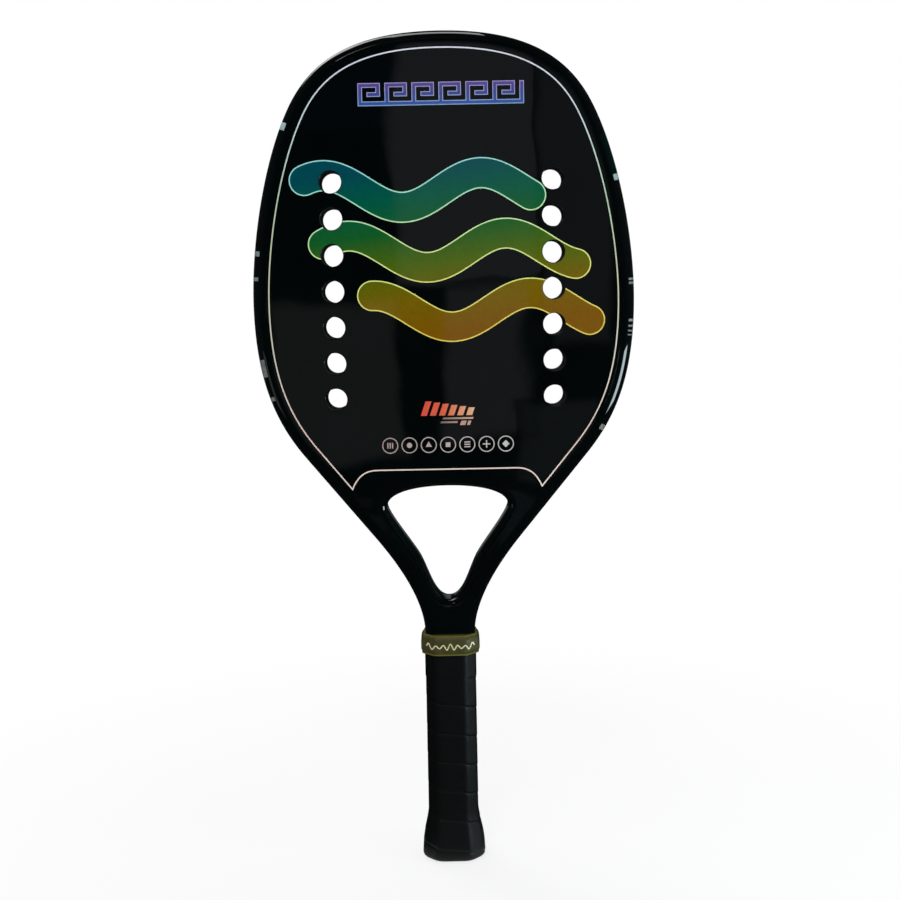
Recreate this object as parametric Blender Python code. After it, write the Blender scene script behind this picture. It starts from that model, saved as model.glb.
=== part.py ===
"""Beach tennis racket: a hollow moulded hoop with an open throat, a perforated foam core
between two carbon faces, and an octagonal handle under a wound grip.

Metres, +Z from the butt to the crown, the front face towards -Y, the origin at the centre of
the butt. Outlines are chains of (x, z) points on the right-hand side, from the crown down."""

import math

import bmesh
import bpy
from mathutils import Vector

# Fit between pieces that touch on the real racket
CLEARANCE = 0.0003

# Outline of the hoop: heights are above the butt, widths are across the whole racket
OVERALL_LENGTH = 0.500
HEAD_WIDTH = 0.226
WIDEST_HEIGHT = 0.3438
SHOULDER_WIDTH = 0.1743
SHOULDER_DROP = 0.0392
SHOULDER_SLOPE = math.radians(64.6)
HIP_WIDTH = 0.1694
HIP_HEIGHT = 0.2518
ARM_FOOT_WIDTH = 0.0885
ARM_FOOT_HEIGHT = 0.2023
NECK_WIDTH = 0.0303
NECK_HEIGHT = 0.1419

# How far each curve runs straight on before it bends, as shares of the distance between its ends
CROWN_PULLS = (0.45, 0.26)
SHOULDER_PULLS = (0.28, 0.40)
FLANK_PULLS = (0.45, 0.30)
NECK_PULLS = (0.41, 0.27)
THROAT_TOP_PULLS = (0.62, 0.20)
THROAT_SIDE_PULLS = (0.09, 0.21)
THROAT_FOOT_PULLS = (0.39, 0.28)
TAPER_PULLS = (0.5, 0.5)

# Section of the hoop: depth in the plane of the face, thickness across it
FRAME_THICKNESS = 0.022
FRAME_DEPTH = 0.0165
OUTER_ROUND_DEPTH = 0.0065
OUTER_ROUND_RISE = 0.0075
THROAT_ROUND = 0.0045
BURIED_ROUND = 0.0005
SIDE_WALL = 0.0018
FACE_WALL = 0.0015

# Throat opening, and the bridge that closes the head above it
THROAT_TOP_HEIGHT = 0.2338
THROAT_CORNER_DROP = 0.0125
THROAT_SIDE_HEIGHT = 0.1882
THROAT_SIDE_SLOPE = math.radians(25)
THROAT_BOTTOM_HEIGHT = 0.1640
ARM_FOOT_DEPTH = 0.0122
BRIDGE_DEPTH = 0.0147
HORN_THICKNESS = 0.0015

# Faces, and the rows of holes drilled through them and the core
FACE_THICKNESS = 0.0010
FACE_INSET = 0.0075
FACE_FOOT_RISE = 0.0067
FACE_FOOT_WIDTH = 0.090
FACE_CORNER_DROP = 0.012
HOLE_DIAMETER = 0.013
HOLE_COLUMN_SPACING = 0.1299
HOLE_PITCH = 0.0212
HOLES_PER_COLUMN = 7
TOP_HOLE_DROP = 0.0857

# Handle: the two legs of the hoop, the moulded halves round them and the butt cap
LEG_GAP = 0.004
LEG_WIDTH = 0.0082
LEG_THICKNESS = 0.014
LEG_ROUND = 0.0025
TAPER_LENGTH = 0.0105
HANDLE_WIDTH = 0.0272
HANDLE_DEPTH = 0.0239
HANDLE_BEVEL = 0.0055
CORNER_CUT = 0.0011
CAP_HEIGHT = 0.032
CAP_WALL = 0.0015
CAP_FLOOR = 0.003
CAP_FLARE = 0.0039
FLARE_END_HEIGHT = 0.004
BUTT_ROUND = 0.0040

# Staples through the skirt of the cap
STAPLE_HEIGHT = 0.020
STAPLE_SPAN = 0.0085
STAPLE_WIRE = 0.0007
STAPLE_SINK = 0.0004

# Grip strip, finishing tape and elastic collar
GRIP_THICKNESS = 0.0015
GRIP_PITCH = 0.0183
GRIP_SEAM = 0.0003
GRIP_START_HEIGHT = 0.0008
GRIP_START_WIDTH = 0.002
GRIP_EDGE = 0.0007
TAPE_WIDTH = 0.015
TAPE_THICKNESS = 0.0003
COLLAR_HEIGHT = 0.0155
COLLAR_OVERLAP = 0.0025
COLLAR_THICKNESS = 0.0016
COLLAR_LIP = 0.0005
COLLAR_SHOULDER = 0.0037
COLLAR_TOP_WALL = 0.0009
COLLAR_NECK_LENGTH = 0.0045
COLLAR_NECK_BEVEL = 0.004

# Fineness of the curves
CURVE_STEPS = 10
OUTER_CORNER_STEPS = 3
INNER_CORNER_STEPS = 2
HOLE_SIDES = 16
ARC_STEPS = 6
BUTT_STEPS = 4
SHOULDER_STEPS = 3
GRIP_ROW_SHARES = (0, 0.06, 0.17, 0.4, 0.7, 1)
STATIONS_PER_TURN = 16

# Places worked out from the sizes
HALF_THICKNESS = FRAME_THICKNESS / 2
FACE_SEAT = HALF_THICKNESS - FACE_THICKNESS - CLEARANCE
HANDLE_FOOT = CAP_FLOOR + CLEARANCE
TAPER_FOOT = NECK_HEIGHT - TAPER_LENGTH
HANDLE_TOP = TAPER_FOOT - CLEARANCE
LEG_OUTSIDE = LEG_GAP / 2 + LEG_WIDTH
FACE_FOOT = THROAT_TOP_HEIGHT + FACE_FOOT_RISE
FACE_CORNER = FACE_FOOT - FACE_CORNER_DROP
CORE_FOOT = THROAT_TOP_HEIGHT + BRIDGE_DEPTH
GRIP_SEAT = CLEARANCE
TAPE_SEAT = GRIP_SEAT + GRIP_THICKNESS + CLEARANCE
COLLAR_SEAT = TAPE_SEAT + TAPE_THICKNESS + CLEARANCE
COLLAR_FOOT = HANDLE_TOP - COLLAR_OVERLAP
COLLAR_TOP = COLLAR_FOOT + COLLAR_HEIGHT


# Chains of points

DOWN = Vector((0, -1))
RIGHT = Vector((1, 0))
LEFT = Vector((-1, 0))


def curve(start, start_way, end, end_way, pulls):
    """Points of a cubic curve that leaves start along start_way and reaches end along end_way"""
    reach = (end - start).length
    first = start + start_way * reach * pulls[0]
    second = end - end_way * reach * pulls[1]
    points = []
    for step in range(CURVE_STEPS + 1):
        t = step / CURVE_STEPS
        s = 1 - t
        points.append(s**3 * start + 3 * s * s * t * first + 3 * s * t * t * second + t**3 * end)
    return points


def joined(*chains):
    """One chain from several that follow each other, with no point twice"""
    points = list(chains[0])
    for chain in chains[1:]:
        points += [point for point in chain if (point - points[-1]).length > 1e-6]
    return points


def inset(chain, distance):
    """The chain moved inwards, square to its own direction"""
    moved = []
    last = len(chain) - 1
    for index, point in enumerate(chain):
        way = (chain[min(index + 1, last)] - chain[max(index - 1, 0)]).normalized()
        if point.x == 0:
            way = RIGHT
        moved.append(point + Vector((way.y, -way.x)) * distance)
    return moved


def down_to(chain, height):
    """The chain cut off where it first falls below a height"""
    kept = [chain[0]]
    for before, after in zip(chain, chain[1:]):
        if after.y <= height:
            kept.append(before.lerp(after, (before.y - height) / (before.y - after.y)))
            return kept
        kept.append(after)
    return kept


def below(chain, height):
    """What down_to leaves over"""
    return [down_to(chain, height)[-1]] + [point for point in chain if point.y < height - 1e-6]


def spread(chain, count):
    """The chain as count + 1 points at equal distances along it"""
    lengths = [0.0]
    for before, after in zip(chain, chain[1:]):
        lengths.append(lengths[-1] + (after - before).length)
    points = []
    index = 0
    for step in range(count + 1):
        wanted = lengths[-1] * step / count
        while index < len(chain) - 2 and lengths[index + 1] < wanted:
            index += 1
        share = (wanted - lengths[index]) / (lengths[index + 1] - lengths[index])
        points.append(chain[index].lerp(chain[index + 1], share))
    return points


def mirrored(point):
    return Vector((-point.x, point.y))


def both_sides(chain):
    """A closed plan from its right-hand chain, which starts on the axis"""
    on_axis_end = abs(chain[-1].x) < 1e-6
    left = [mirrored(point) for point in reversed(chain[1:-1] if on_axis_end else chain[1:])]
    return list(chain) + left


def grown(plan, distance):
    """A closed plan, listed clockwise, with every edge moved outwards"""
    points = []
    for index, point in enumerate(plan):
        before = (point - plan[index - 1]).normalized()
        after = (plan[(index + 1) % len(plan)] - point).normalized()
        middle = Vector((-before.y - after.y, before.x + after.x)).normalized()
        points.append(point + middle * distance / middle.dot(Vector((-after.y, after.x))))
    return points


# Outline of the hoop and of the throat

def hoop_outline():
    """The outside of the hoop in three chains: head, arm and neck"""
    crown = Vector((0, OVERALL_LENGTH))
    shoulder = Vector((SHOULDER_WIDTH / 2, OVERALL_LENGTH - SHOULDER_DROP))
    shoulder_way = Vector((math.cos(SHOULDER_SLOPE), -math.sin(SHOULDER_SLOPE)))
    widest = Vector((HEAD_WIDTH / 2, WIDEST_HEIGHT))
    hip = Vector((HIP_WIDTH / 2, HIP_HEIGHT))
    arm_foot = Vector((ARM_FOOT_WIDTH / 2, ARM_FOOT_HEIGHT))
    arm_way = (arm_foot - hip).normalized()
    neck = Vector((NECK_WIDTH / 2, NECK_HEIGHT))
    head = joined(
        curve(crown, RIGHT, shoulder, shoulder_way, CROWN_PULLS),
        curve(shoulder, shoulder_way, widest, DOWN, SHOULDER_PULLS),
        curve(widest, DOWN, hip, arm_way, FLANK_PULLS),
    )
    return head, [hip, arm_foot], curve(arm_foot, arm_way, neck, DOWN, NECK_PULLS)


def throat_outline():
    """The edge of the throat opening in three chains: top, side and foot"""
    hip, arm_foot = HOOP_ARM
    lean = (hip.x - arm_foot.x) / (hip.y - arm_foot.y)
    across = math.hypot(1, lean)

    def beside_arm(height, depth):
        return Vector((hip.x - (hip.y - height) * lean - depth * across, height))

    top = Vector((0, THROAT_TOP_HEIGHT))
    corner = beside_arm(THROAT_TOP_HEIGHT - THROAT_CORNER_DROP, FRAME_DEPTH + HORN_THICKNESS)
    side = beside_arm(THROAT_SIDE_HEIGHT, ARM_FOOT_DEPTH)
    side_way = Vector((-math.sin(THROAT_SIDE_SLOPE), -math.cos(THROAT_SIDE_SLOPE)))
    foot = Vector((0, THROAT_BOTTOM_HEIGHT))
    return (
        curve(top, RIGHT, corner, DOWN, THROAT_TOP_PULLS),
        curve(corner, DOWN, side, side_way, THROAT_SIDE_PULLS),
        curve(side, side_way, foot, LEFT, THROAT_FOOT_PULLS),
    )


HOOP_HEAD, HOOP_ARM, HOOP_NECK = hoop_outline()
THROAT_TOP, THROAT_SIDE, THROAT_FOOT = throat_outline()

# Points down the throat's side at which the bridge's horn ends and the hoop's own wall is bare
HORN_END = 1
WALL_START = 3


def foot_on_arm(point):
    """The point of the arm's outside that lies square across from a point on its inside"""
    hip, arm_foot = HOOP_ARM
    way = (arm_foot - hip).normalized()
    return hip + way * (point - hip).dot(way)


# Meshes

def finish(name, mesh, material, smooth_angle=None):
    """A mesh data block from a bmesh, as an object with its material"""
    bmesh.ops.recalc_face_normals(mesh, faces=mesh.faces)
    data = bpy.data.meshes.new(name)
    mesh.to_mesh(data)
    mesh.free()
    if smooth_angle:
        data.shade_smooth()
        data.set_sharp_from_angle(angle=smooth_angle)
    piece = bpy.data.objects.new(name, data)
    bpy.context.scene.collection.objects.link(piece)
    if material:
        data.materials.append(material)
    else:
        piece.hide_render = True
        piece.display_type = 'WIRE'
    return piece


def skin(mesh, rings):
    """Faces between closed rings of as many points each; returns the rings' vertices"""
    loops = [[mesh.verts.new(point) for point in ring] for ring in rings]
    for lower, upper in zip(loops, loops[1:]):
        for index in range(len(lower)):
            after = (index + 1) % len(lower)
            mesh.faces.new((lower[index], lower[after], upper[after], upper[index]))
    return loops


def solid_loft(mesh, rings):
    """A closed body through the rings, capped at both ends"""
    loops = skin(mesh, rings)
    mesh.faces.new(loops[0])
    mesh.faces.new(loops[-1])


def hollow_loft(mesh, outer_rings, inner_rings):
    """A tube wall between two sets of rings, open at both ends"""
    outer = skin(mesh, outer_rings)
    inner = skin(mesh, inner_rings)
    for end in (0, -1):
        rims = [outer[end], inner[end]]
        edges = [mesh.edges.get((rim[index - 1], rim[index])) for rim in rims for index in range(len(rim))]
        bmesh.ops.triangle_fill(mesh, use_beauty=True, edges=edges)


def plate(mesh, plan, near, far):
    """A flat plate of a plan in (x, z), from y = near to y = far"""
    solid_loft(mesh, [[Vector((p.x, y, p.y)) for p in plan] for y in (near, far)])


def cut(piece, cutter):
    trim = piece.modifiers.new(cutter.name, 'BOOLEAN')
    trim.operation = 'DIFFERENCE'
    trim.object = cutter
    trim.solver = 'EXACT'


def surface(name, color, roughness, metallic=0.0):
    material = bpy.data.materials.new(name)
    material.use_nodes = True
    shader = material.node_tree.nodes["Principled BSDF"]
    shader.inputs["Base Color"].default_value = (*color, 1)
    shader.inputs["Roughness"].default_value = roughness
    shader.inputs["Metallic"].default_value = metallic
    return material


# Section of the hoop

def section(start, width, half, outer_depth, outer_rise, inner_round, outer_steps, inner_steps):
    """Closed section as (distance from the outline, y) points, rounded at its four corners"""
    room = width / (outer_depth + inner_round)
    outer_depth *= min(1, room)
    outer_rise = min(outer_rise, 0.9 * half)
    inner_round *= min(1, room)
    end = start + width
    front = []
    for step in range(outer_steps + 1):
        turn = math.pi / 2 * step / outer_steps
        front.append((start + outer_depth * (1 - math.cos(turn)), outer_rise * (1 - math.sin(turn)) - half))
    for step in range(inner_steps + 1):
        turn = math.pi / 2 * step / inner_steps
        front.append((end - inner_round * (1 - math.sin(turn)), inner_round * (1 - math.cos(turn)) - half))
    return front + [(u, -y) for u, y in reversed(front)]


def placed(points, outside, inside):
    """A section stood up between a point of the outline and the one across from it"""
    way = (inside - outside).normalized()
    return [Vector((outside.x + way.x * u, y, outside.y + way.y * u)) for u, y in points]


def taper_share(height):
    """0 on the neck and above, 1 on the legs in the handle, smooth between"""
    share = min(max((NECK_HEIGHT - height) / TAPER_LENGTH, 0), 1)
    return share * share * (3 - 2 * share)


def mix(first, second, share):
    return first + (second - first) * share


def hoop_sections(outside, inside, inner_round):
    """Outer and inner rings of the hoop at one station"""
    share = taper_share(outside.y)
    half = mix(HALF_THICKNESS, LEG_THICKNESS / 2, share)
    depth = mix(OUTER_ROUND_DEPTH, LEG_ROUND, share)
    rise = mix(OUTER_ROUND_RISE, LEG_ROUND, share)
    width = (inside - outside).length
    outer = section(0, width, half, depth, rise, inner_round,
                    OUTER_CORNER_STEPS, INNER_CORNER_STEPS)
    void_half = half - (HALF_THICKNESS - FACE_SEAT) - FACE_WALL
    void = section(SIDE_WALL, width - 2 * SIDE_WALL, void_half, max(depth - SIDE_WALL, LEG_ROUND / 2),
                   max(rise - SIDE_WALL, LEG_ROUND / 2), max(inner_round - SIDE_WALL, LEG_ROUND / 4), 1, 1)
    return placed(outer, outside, inside), placed(void, outside, inside)


def hoop_stations():
    """(outside, inside, inner rounding) down the right-hand half of the hoop"""
    head_in = inset(HOOP_HEAD, FRAME_DEPTH)
    wall_start = THROAT_SIDE[WALL_START]
    arm_across = foot_on_arm(wall_start)
    leg_side = LEG_GAP / 2
    throat_side = joined(THROAT_SIDE[WALL_START:], THROAT_FOOT)
    reached = [point for point in throat_side if point.x > leg_side]
    crotch = Vector((leg_side, reached[-1].y))
    throat_side = reached + [crotch]
    lower_arm = joined([arm_across, HOOP_ARM[1]], down_to(HOOP_NECK, crotch.y))
    stations = [(a, b, BURIED_ROUND) for a, b in zip(HOOP_HEAD, head_in)]
    upper = zip(spread([HOOP_ARM[0], arm_across], 4), spread([head_in[-1], wall_start], 4))
    stations += [(a, b, BURIED_ROUND) for a, b in list(upper)[1:-1]]
    stations += [(a, b, THROAT_ROUND) for a, b in zip(spread(lower_arm, 12), spread(throat_side, 12))]
    neck = down_to(below(HOOP_NECK, crotch.y - THROAT_ROUND), NECK_HEIGHT + TAPER_LENGTH / 4)
    neck = spread(neck, 3)
    taper = curve(Vector((NECK_WIDTH / 2, NECK_HEIGHT)), DOWN, Vector((LEG_OUTSIDE, TAPER_FOOT)),
                  DOWN, TAPER_PULLS)
    leg = neck + taper[::2] + [Vector((LEG_OUTSIDE, HANDLE_FOOT))]
    stations += [(a, Vector((leg_side, a.y)), BURIED_ROUND) for a in leg]
    return stations


def frame_tube(material):
    """The hoop: one hollow tube from the left leg round the crown to the right leg"""
    right = hoop_stations()
    left = [(mirrored(a), mirrored(b), inner_round) for a, b, inner_round in right[1:]]
    rings = [hoop_sections(*station) for station in list(reversed(left)) + right]
    mesh = bmesh.new()
    hollow_loft(mesh, [ring[0] for ring in rings], [ring[1] for ring in rings])
    return finish("frame_tube", mesh, material, math.radians(35))


def throat_bridge(material):
    """The yoke that closes the head above the throat, with a horn down into each top corner"""
    hip_in = inset(HOOP_HEAD, FRAME_DEPTH)[-1]
    wall_start = THROAT_SIDE[WALL_START]
    wall = inset([hip_in, wall_start], CLEARANCE)
    lean = (wall[0].x - wall[1].x) / (wall[0].y - wall[1].y)
    corner = Vector((wall[1].x + (CORE_FOOT - wall[1].y) * lean, CORE_FOOT))
    horn = THROAT_SIDE[HORN_END]
    wall_way = (wall[1] - wall[0]).normalized()
    horn_across = wall[0] + wall_way * (horn - wall[0]).dot(wall_way)
    edge = spread(joined(list(reversed(THROAT_SIDE[:HORN_END + 1])), list(reversed(THROAT_TOP))), 20)
    side = spread([horn_across, corner], 10)
    top = spread([corner, Vector((0, CORE_FOOT))], 10)
    pairs = list(zip(edge, side + top[1:]))
    pairs += [(mirrored(a), mirrored(b)) for a, b in reversed(pairs[:-1])]
    rings = []
    for near, far in pairs:
        points = section(0, (far - near).length, HALF_THICKNESS, THROAT_ROUND, THROAT_ROUND,
                         BURIED_ROUND, OUTER_CORNER_STEPS, INNER_CORNER_STEPS)
        rings.append(placed(points, near, far))
    mesh = bmesh.new()
    solid_loft(mesh, rings)
    return finish("throat_bridge", mesh, material, math.radians(35))


# Faces and core

def face_plan():
    """Plan of a face, which ends above the throat in a straight foot with two hollow corners"""
    edge = down_to(inset(joined(HOOP_HEAD, HOOP_ARM), FACE_INSET), FACE_CORNER)
    corner = edge[-1]
    half_foot = FACE_FOOT_WIDTH / 2
    rise = FACE_FOOT - corner.y
    arc = []
    for step in range(1, ARC_STEPS + 1):
        turn = math.pi / 2 * step / ARC_STEPS
        arc.append(Vector((
            half_foot + (corner.x - half_foot) * math.cos(turn),
            corner.y + rise * math.sin(turn),
        )))
    return both_sides(edge + arc)


def core_plan():
    hip_in = inset(HOOP_HEAD, FRAME_DEPTH + CLEARANCE)
    wall = inset([inset(HOOP_HEAD, FRAME_DEPTH)[-1], THROAT_SIDE[WALL_START]], CLEARANCE)
    return both_sides(down_to(joined(hip_in[:-1], wall), CORE_FOOT + CLEARANCE))


def hole_cutter():
    """Drills for the two columns of holes"""
    mesh = bmesh.new()
    reach = FRAME_THICKNESS
    for side in (-1, 1):
        for row in range(HOLES_PER_COLUMN):
            middle = Vector((side * HOLE_COLUMN_SPACING / 2,
                             OVERALL_LENGTH - TOP_HOLE_DROP - row * HOLE_PITCH))
            turns = [2 * math.pi * step / HOLE_SIDES for step in range(HOLE_SIDES)]
            circle = [middle + Vector((math.cos(a), math.sin(a))) * HOLE_DIAMETER / 2 for a in turns]
            plate(mesh, circle, -reach, reach)
    return finish("hole_cutter", mesh, None)


def foam_core(material, drills):
    mesh = bmesh.new()
    half = FACE_SEAT
    plate(mesh, core_plan(), -half, half)
    piece = finish("foam_core", mesh, material)
    cut(piece, drills)
    return piece


def face(name, side, material, drills):
    """One carbon face; side is -1 at the front and 1 at the rear"""
    mesh = bmesh.new()
    plate(mesh, face_plan(), side * (HALF_THICKNESS - FACE_THICKNESS), side * HALF_THICKNESS)
    piece = finish(name, mesh, material)
    cut(piece, drills)
    return piece


def rebate_cutter():
    """The seats that both faces leave in the hoop and the bridge"""
    mesh = bmesh.new()
    plan = grown(face_plan(), CLEARANCE)
    for side in (-1, 1):
        plate(mesh, plan, side * FACE_SEAT, side * 2 * HALF_THICKNESS)
    return finish("rebate_cutter", mesh, None)


# Handle

def octagon(half_width, half_depth, bevel):
    """Octagon in (x, y) with a small flat across each corner, counter-clockwise from +X"""
    corners = [
        (half_width, half_depth - bevel), (half_width - bevel, half_depth),
        (bevel - half_width, half_depth), (-half_width, half_depth - bevel),
        (-half_width, bevel - half_depth), (bevel - half_width, -half_depth),
        (half_width - bevel, -half_depth), (half_width, bevel - half_depth),
    ]
    corners = [Vector(corner) for corner in corners]
    points = []
    for index, corner in enumerate(corners):
        before = corners[index - 1] - corner
        after = corners[(index + 1) % len(corners)] - corner
        points.append(corner + before.normalized() * min(CORNER_CUT, before.length / 3))
        points.append(corner + after.normalized() * min(CORNER_CUT, after.length / 3))
    return points


def handle_octagon(growth):
    """The bare handle's octagon, grown by a layer of that thickness"""
    return octagon(HANDLE_WIDTH / 2 + growth, HANDLE_DEPTH / 2 + growth,
                   HANDLE_BEVEL + growth * (2 - math.sqrt(2)))


def flare(height):
    """How far the butt cap stands out beyond the handle at a height, and draws in at its round foot"""
    share = (CAP_HEIGHT - height) / (CAP_HEIGHT - FLARE_END_HEIGHT)
    share = min(max(share, 0), 1)
    below_round = max(BUTT_ROUND - height, 0)
    drawn_in = BUTT_ROUND - math.sqrt(BUTT_ROUND**2 - below_round**2)
    return CAP_FLARE * share * share * (3 - 2 * share) - drawn_in


def level(points, height):
    return [Vector((point.x, point.y, height)) for point in points]


def handle_half(name, side, material, staples):
    """One moulded half of the handle: a channel over both legs, stepped in for the cap"""
    pocket_x = LEG_OUTSIDE + CLEARANCE
    pocket_y = LEG_THICKNESS / 2 + CLEARANCE
    bevel = LEG_ROUND * (2 - math.sqrt(2))
    parting = CLEARANCE / 2

    def channel(growth):
        outer = [p for p in handle_octagon(growth) if p.y < 0]
        outer.sort(key=lambda p: math.atan2(p.y, p.x))
        wide = HANDLE_WIDTH / 2 + growth
        points = [Vector((-wide, -parting))] + outer + [Vector((wide, -parting))]
        pocket = [(pocket_x, -parting), (pocket_x, bevel - pocket_y), (pocket_x - bevel, -pocket_y)]
        points += [Vector(corner) for corner in pocket]
        points += [Vector((-x, y)) for x, y in reversed(pocket)]
        return [Vector((p.x, -side * p.y)) for p in points]

    under_cap = channel(-CAP_WALL - CLEARANCE)
    full = channel(0)
    step = CAP_HEIGHT + CLEARANCE
    mesh = bmesh.new()
    solid_loft(mesh, [
        level(under_cap, HANDLE_FOOT), level(under_cap, step - CLEARANCE),
        level(full, step), level(full, HANDLE_TOP),
    ])
    piece = finish(name, mesh, material)
    cut(piece, staples)
    return piece


def neck_filler(material):
    """Foam strip between the legs, from the butt up to the foot of the throat"""
    half_width = LEG_GAP / 2 - CLEARANCE
    top = THROAT_BOTTOM_HEIGHT - CLEARANCE
    leg_half = LEG_THICKNESS / 2
    rows = [(HANDLE_FOOT, leg_half), (TAPER_FOOT, leg_half)]
    for share in (0.25, 0.5, 0.75):
        height = mix(TAPER_FOOT, NECK_HEIGHT, share)
        rows.append((height, mix(HALF_THICKNESS, leg_half, taper_share(height))))
    rows.append((NECK_HEIGHT, HALF_THICKNESS))
    for step in range(INNER_CORNER_STEPS + 1):
        turn = math.pi / 2 * step / INNER_CORNER_STEPS
        rows.append((top - THROAT_ROUND * (1 - math.sin(turn)),
                     HALF_THICKNESS - THROAT_ROUND * (1 - math.cos(turn))))
    rings = []
    for height, half in rows:
        corners = [(-half_width, -half), (half_width, -half), (half_width, half), (-half_width, half)]
        rings.append([Vector((x, y, height)) for x, y in corners])
    mesh = bmesh.new()
    solid_loft(mesh, rings)
    return finish("neck_filler", mesh, material)


def butt_cap(material, staples):
    """Octagonal cup over the end of the handle, flared outside and flat at the butt"""
    rings = []
    for step in range(BUTT_STEPS):
        height = BUTT_ROUND * (1 - math.cos(math.pi / 2 * step / BUTT_STEPS))
        rings.append(level(handle_octagon(flare(height)), height))
    for step in range(CURVE_STEPS + 1):
        height = mix(BUTT_ROUND, CAP_HEIGHT, step / CURVE_STEPS)
        rings.append(level(handle_octagon(flare(height)), height))
    rings.append(level(handle_octagon(-CAP_WALL), CAP_HEIGHT))
    rings.append(level(handle_octagon(-CAP_WALL), CAP_FLOOR))
    mesh = bmesh.new()
    solid_loft(mesh, rings)
    piece = finish("butt_cap", mesh, material, math.radians(25))
    cut(piece, staples)
    return piece


def staple_shape(mesh, side, room):
    """A staple driven in from one side of the cap, with room all round it"""
    seat = HANDLE_WIDTH / 2 + flare(STAPLE_HEIGHT + STAPLE_WIRE / 2) - STAPLE_SINK
    back = seat - STAPLE_WIRE - room
    front = seat + (room and CAP_FLARE)
    tip = LEG_OUTSIDE + 2 * (CLEARANCE - room)
    half = STAPLE_SPAN / 2 + room
    gap = STAPLE_SPAN / 2 - STAPLE_WIRE - room
    outline = [(front, -half), (front, half), (tip, half), (tip, gap), (back, gap),
               (back, -gap), (tip, -gap), (tip, -half)]
    rings = []
    for height in (STAPLE_HEIGHT - STAPLE_WIRE / 2 - room, STAPLE_HEIGHT + STAPLE_WIRE / 2 + room):
        rings.append([Vector((side * x, y, height)) for x, y in outline])
    solid_loft(mesh, rings)


def staple_cutter():
    mesh = bmesh.new()
    for side in (-1, 1):
        staple_shape(mesh, side, CLEARANCE)
    return finish("staple_cutter", mesh, None)


def cap_staple(name, side, material):
    mesh = bmesh.new()
    staple_shape(mesh, side, 0)
    return finish(name, mesh, material)


# Grip, tape and collar

def grip_point(station, height, growth):
    """Point on the grip strip: stations go round the handle clockwise, seen from the crown"""
    ring = handle_octagon(growth + flare(height))
    point = ring[-station % STATIONS_PER_TURN]
    return Vector((point.x, point.y, height))


def grip_wrap(material):
    """A cushioned strip wound from the butt to the top of the handle, edge to edge"""
    width = GRIP_PITCH - GRIP_SEAM
    inner = GRIP_SEAT
    outer = GRIP_SEAT + GRIP_THICKNESS
    rings = []
    station = 0
    while True:
        upper = GRIP_START_HEIGHT + GRIP_START_WIDTH + GRIP_PITCH * station / STATIONS_PER_TURN
        low = max(upper - width, GRIP_START_HEIGHT)
        high = min(upper, HANDLE_TOP)
        if high - low < GRIP_START_WIDTH:
            break
        inside = [mix(low, high, share) for share in GRIP_ROW_SHARES]
        outside = [mix(low + GRIP_EDGE, high - GRIP_EDGE, share) for share in GRIP_ROW_SHARES]
        ring = [grip_point(station, height, inner) for height in inside]
        ring.append(grip_point(station, high, outer - GRIP_EDGE))
        ring += [grip_point(station, height, outer) for height in reversed(outside)]
        ring.append(grip_point(station, low, outer - GRIP_EDGE))
        rings.append(ring)
        station += 1
    mesh = bmesh.new()
    solid_loft(mesh, rings)
    return finish("grip_wrap", mesh, material, math.radians(25))


def sleeve(mesh, outer_rings, inner_rings):
    """A ring-shaped body between outer and inner rings, both listed from the bottom up"""
    loops = skin(mesh, outer_rings + list(reversed(inner_rings)))
    count = len(loops[0])
    for index in range(count):
        after = (index + 1) % count
        mesh.faces.new((loops[-1][index], loops[-1][after], loops[0][after], loops[0][index]))


def finishing_tape(material):
    """Thin tape round the top of the grip, half hidden by the collar"""
    foot = HANDLE_TOP - TAPE_WIDTH
    outer = [level(handle_octagon(TAPE_SEAT + TAPE_THICKNESS), z) for z in (foot, HANDLE_TOP)]
    inner = [level(handle_octagon(TAPE_SEAT), z) for z in (foot, HANDLE_TOP)]
    mesh = bmesh.new()
    sleeve(mesh, outer, inner)
    return finish("finishing_tape", mesh, material)


def grip_collar(material):
    """Elastic collar: the lower part grips the tape, the upper part closes on the neck"""
    outside = COLLAR_SEAT + COLLAR_THICKNESS
    rise = COLLAR_TOP - COLLAR_SHOULDER - COLLAR_FOOT
    profile = [(0, -2 * COLLAR_LIP), (0.05, -COLLAR_LIP), (0.12, -COLLAR_LIP), (0.3, 0), (0.55, COLLAR_LIP),
               (0.85, COLLAR_LIP / 2), (0.94, 0), (1, -COLLAR_LIP)]
    outer = [level(handle_octagon(outside + bulge), COLLAR_FOOT + share * rise)
             for share, bulge in profile]

    def round_neck(room):
        return octagon(NECK_WIDTH / 2 + room, HALF_THICKNESS + room, COLLAR_NECK_BEVEL)

    shoulder = handle_octagon(outside - COLLAR_LIP)
    top = round_neck(CLEARANCE + COLLAR_TOP_WALL)
    for step in range(1, SHOULDER_STEPS + 1):
        turn = math.pi / 2 * step / SHOULDER_STEPS
        drawn_in = [point.lerp(end, 1 - math.cos(turn)) for point, end in zip(shoulder, top)]
        outer.append(level(drawn_in, COLLAR_TOP - COLLAR_SHOULDER * (1 - math.sin(turn))))
    neck = round_neck(CLEARANCE)
    seat = handle_octagon(COLLAR_SEAT)
    inner = [
        level(seat, COLLAR_FOOT), level(seat, HANDLE_TOP + CLEARANCE),
        level(neck, COLLAR_TOP - COLLAR_NECK_LENGTH), level(neck, COLLAR_TOP),
    ]
    mesh = bmesh.new()
    sleeve(mesh, outer, inner)
    return finish("grip_collar", mesh, material, math.radians(25))


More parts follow.
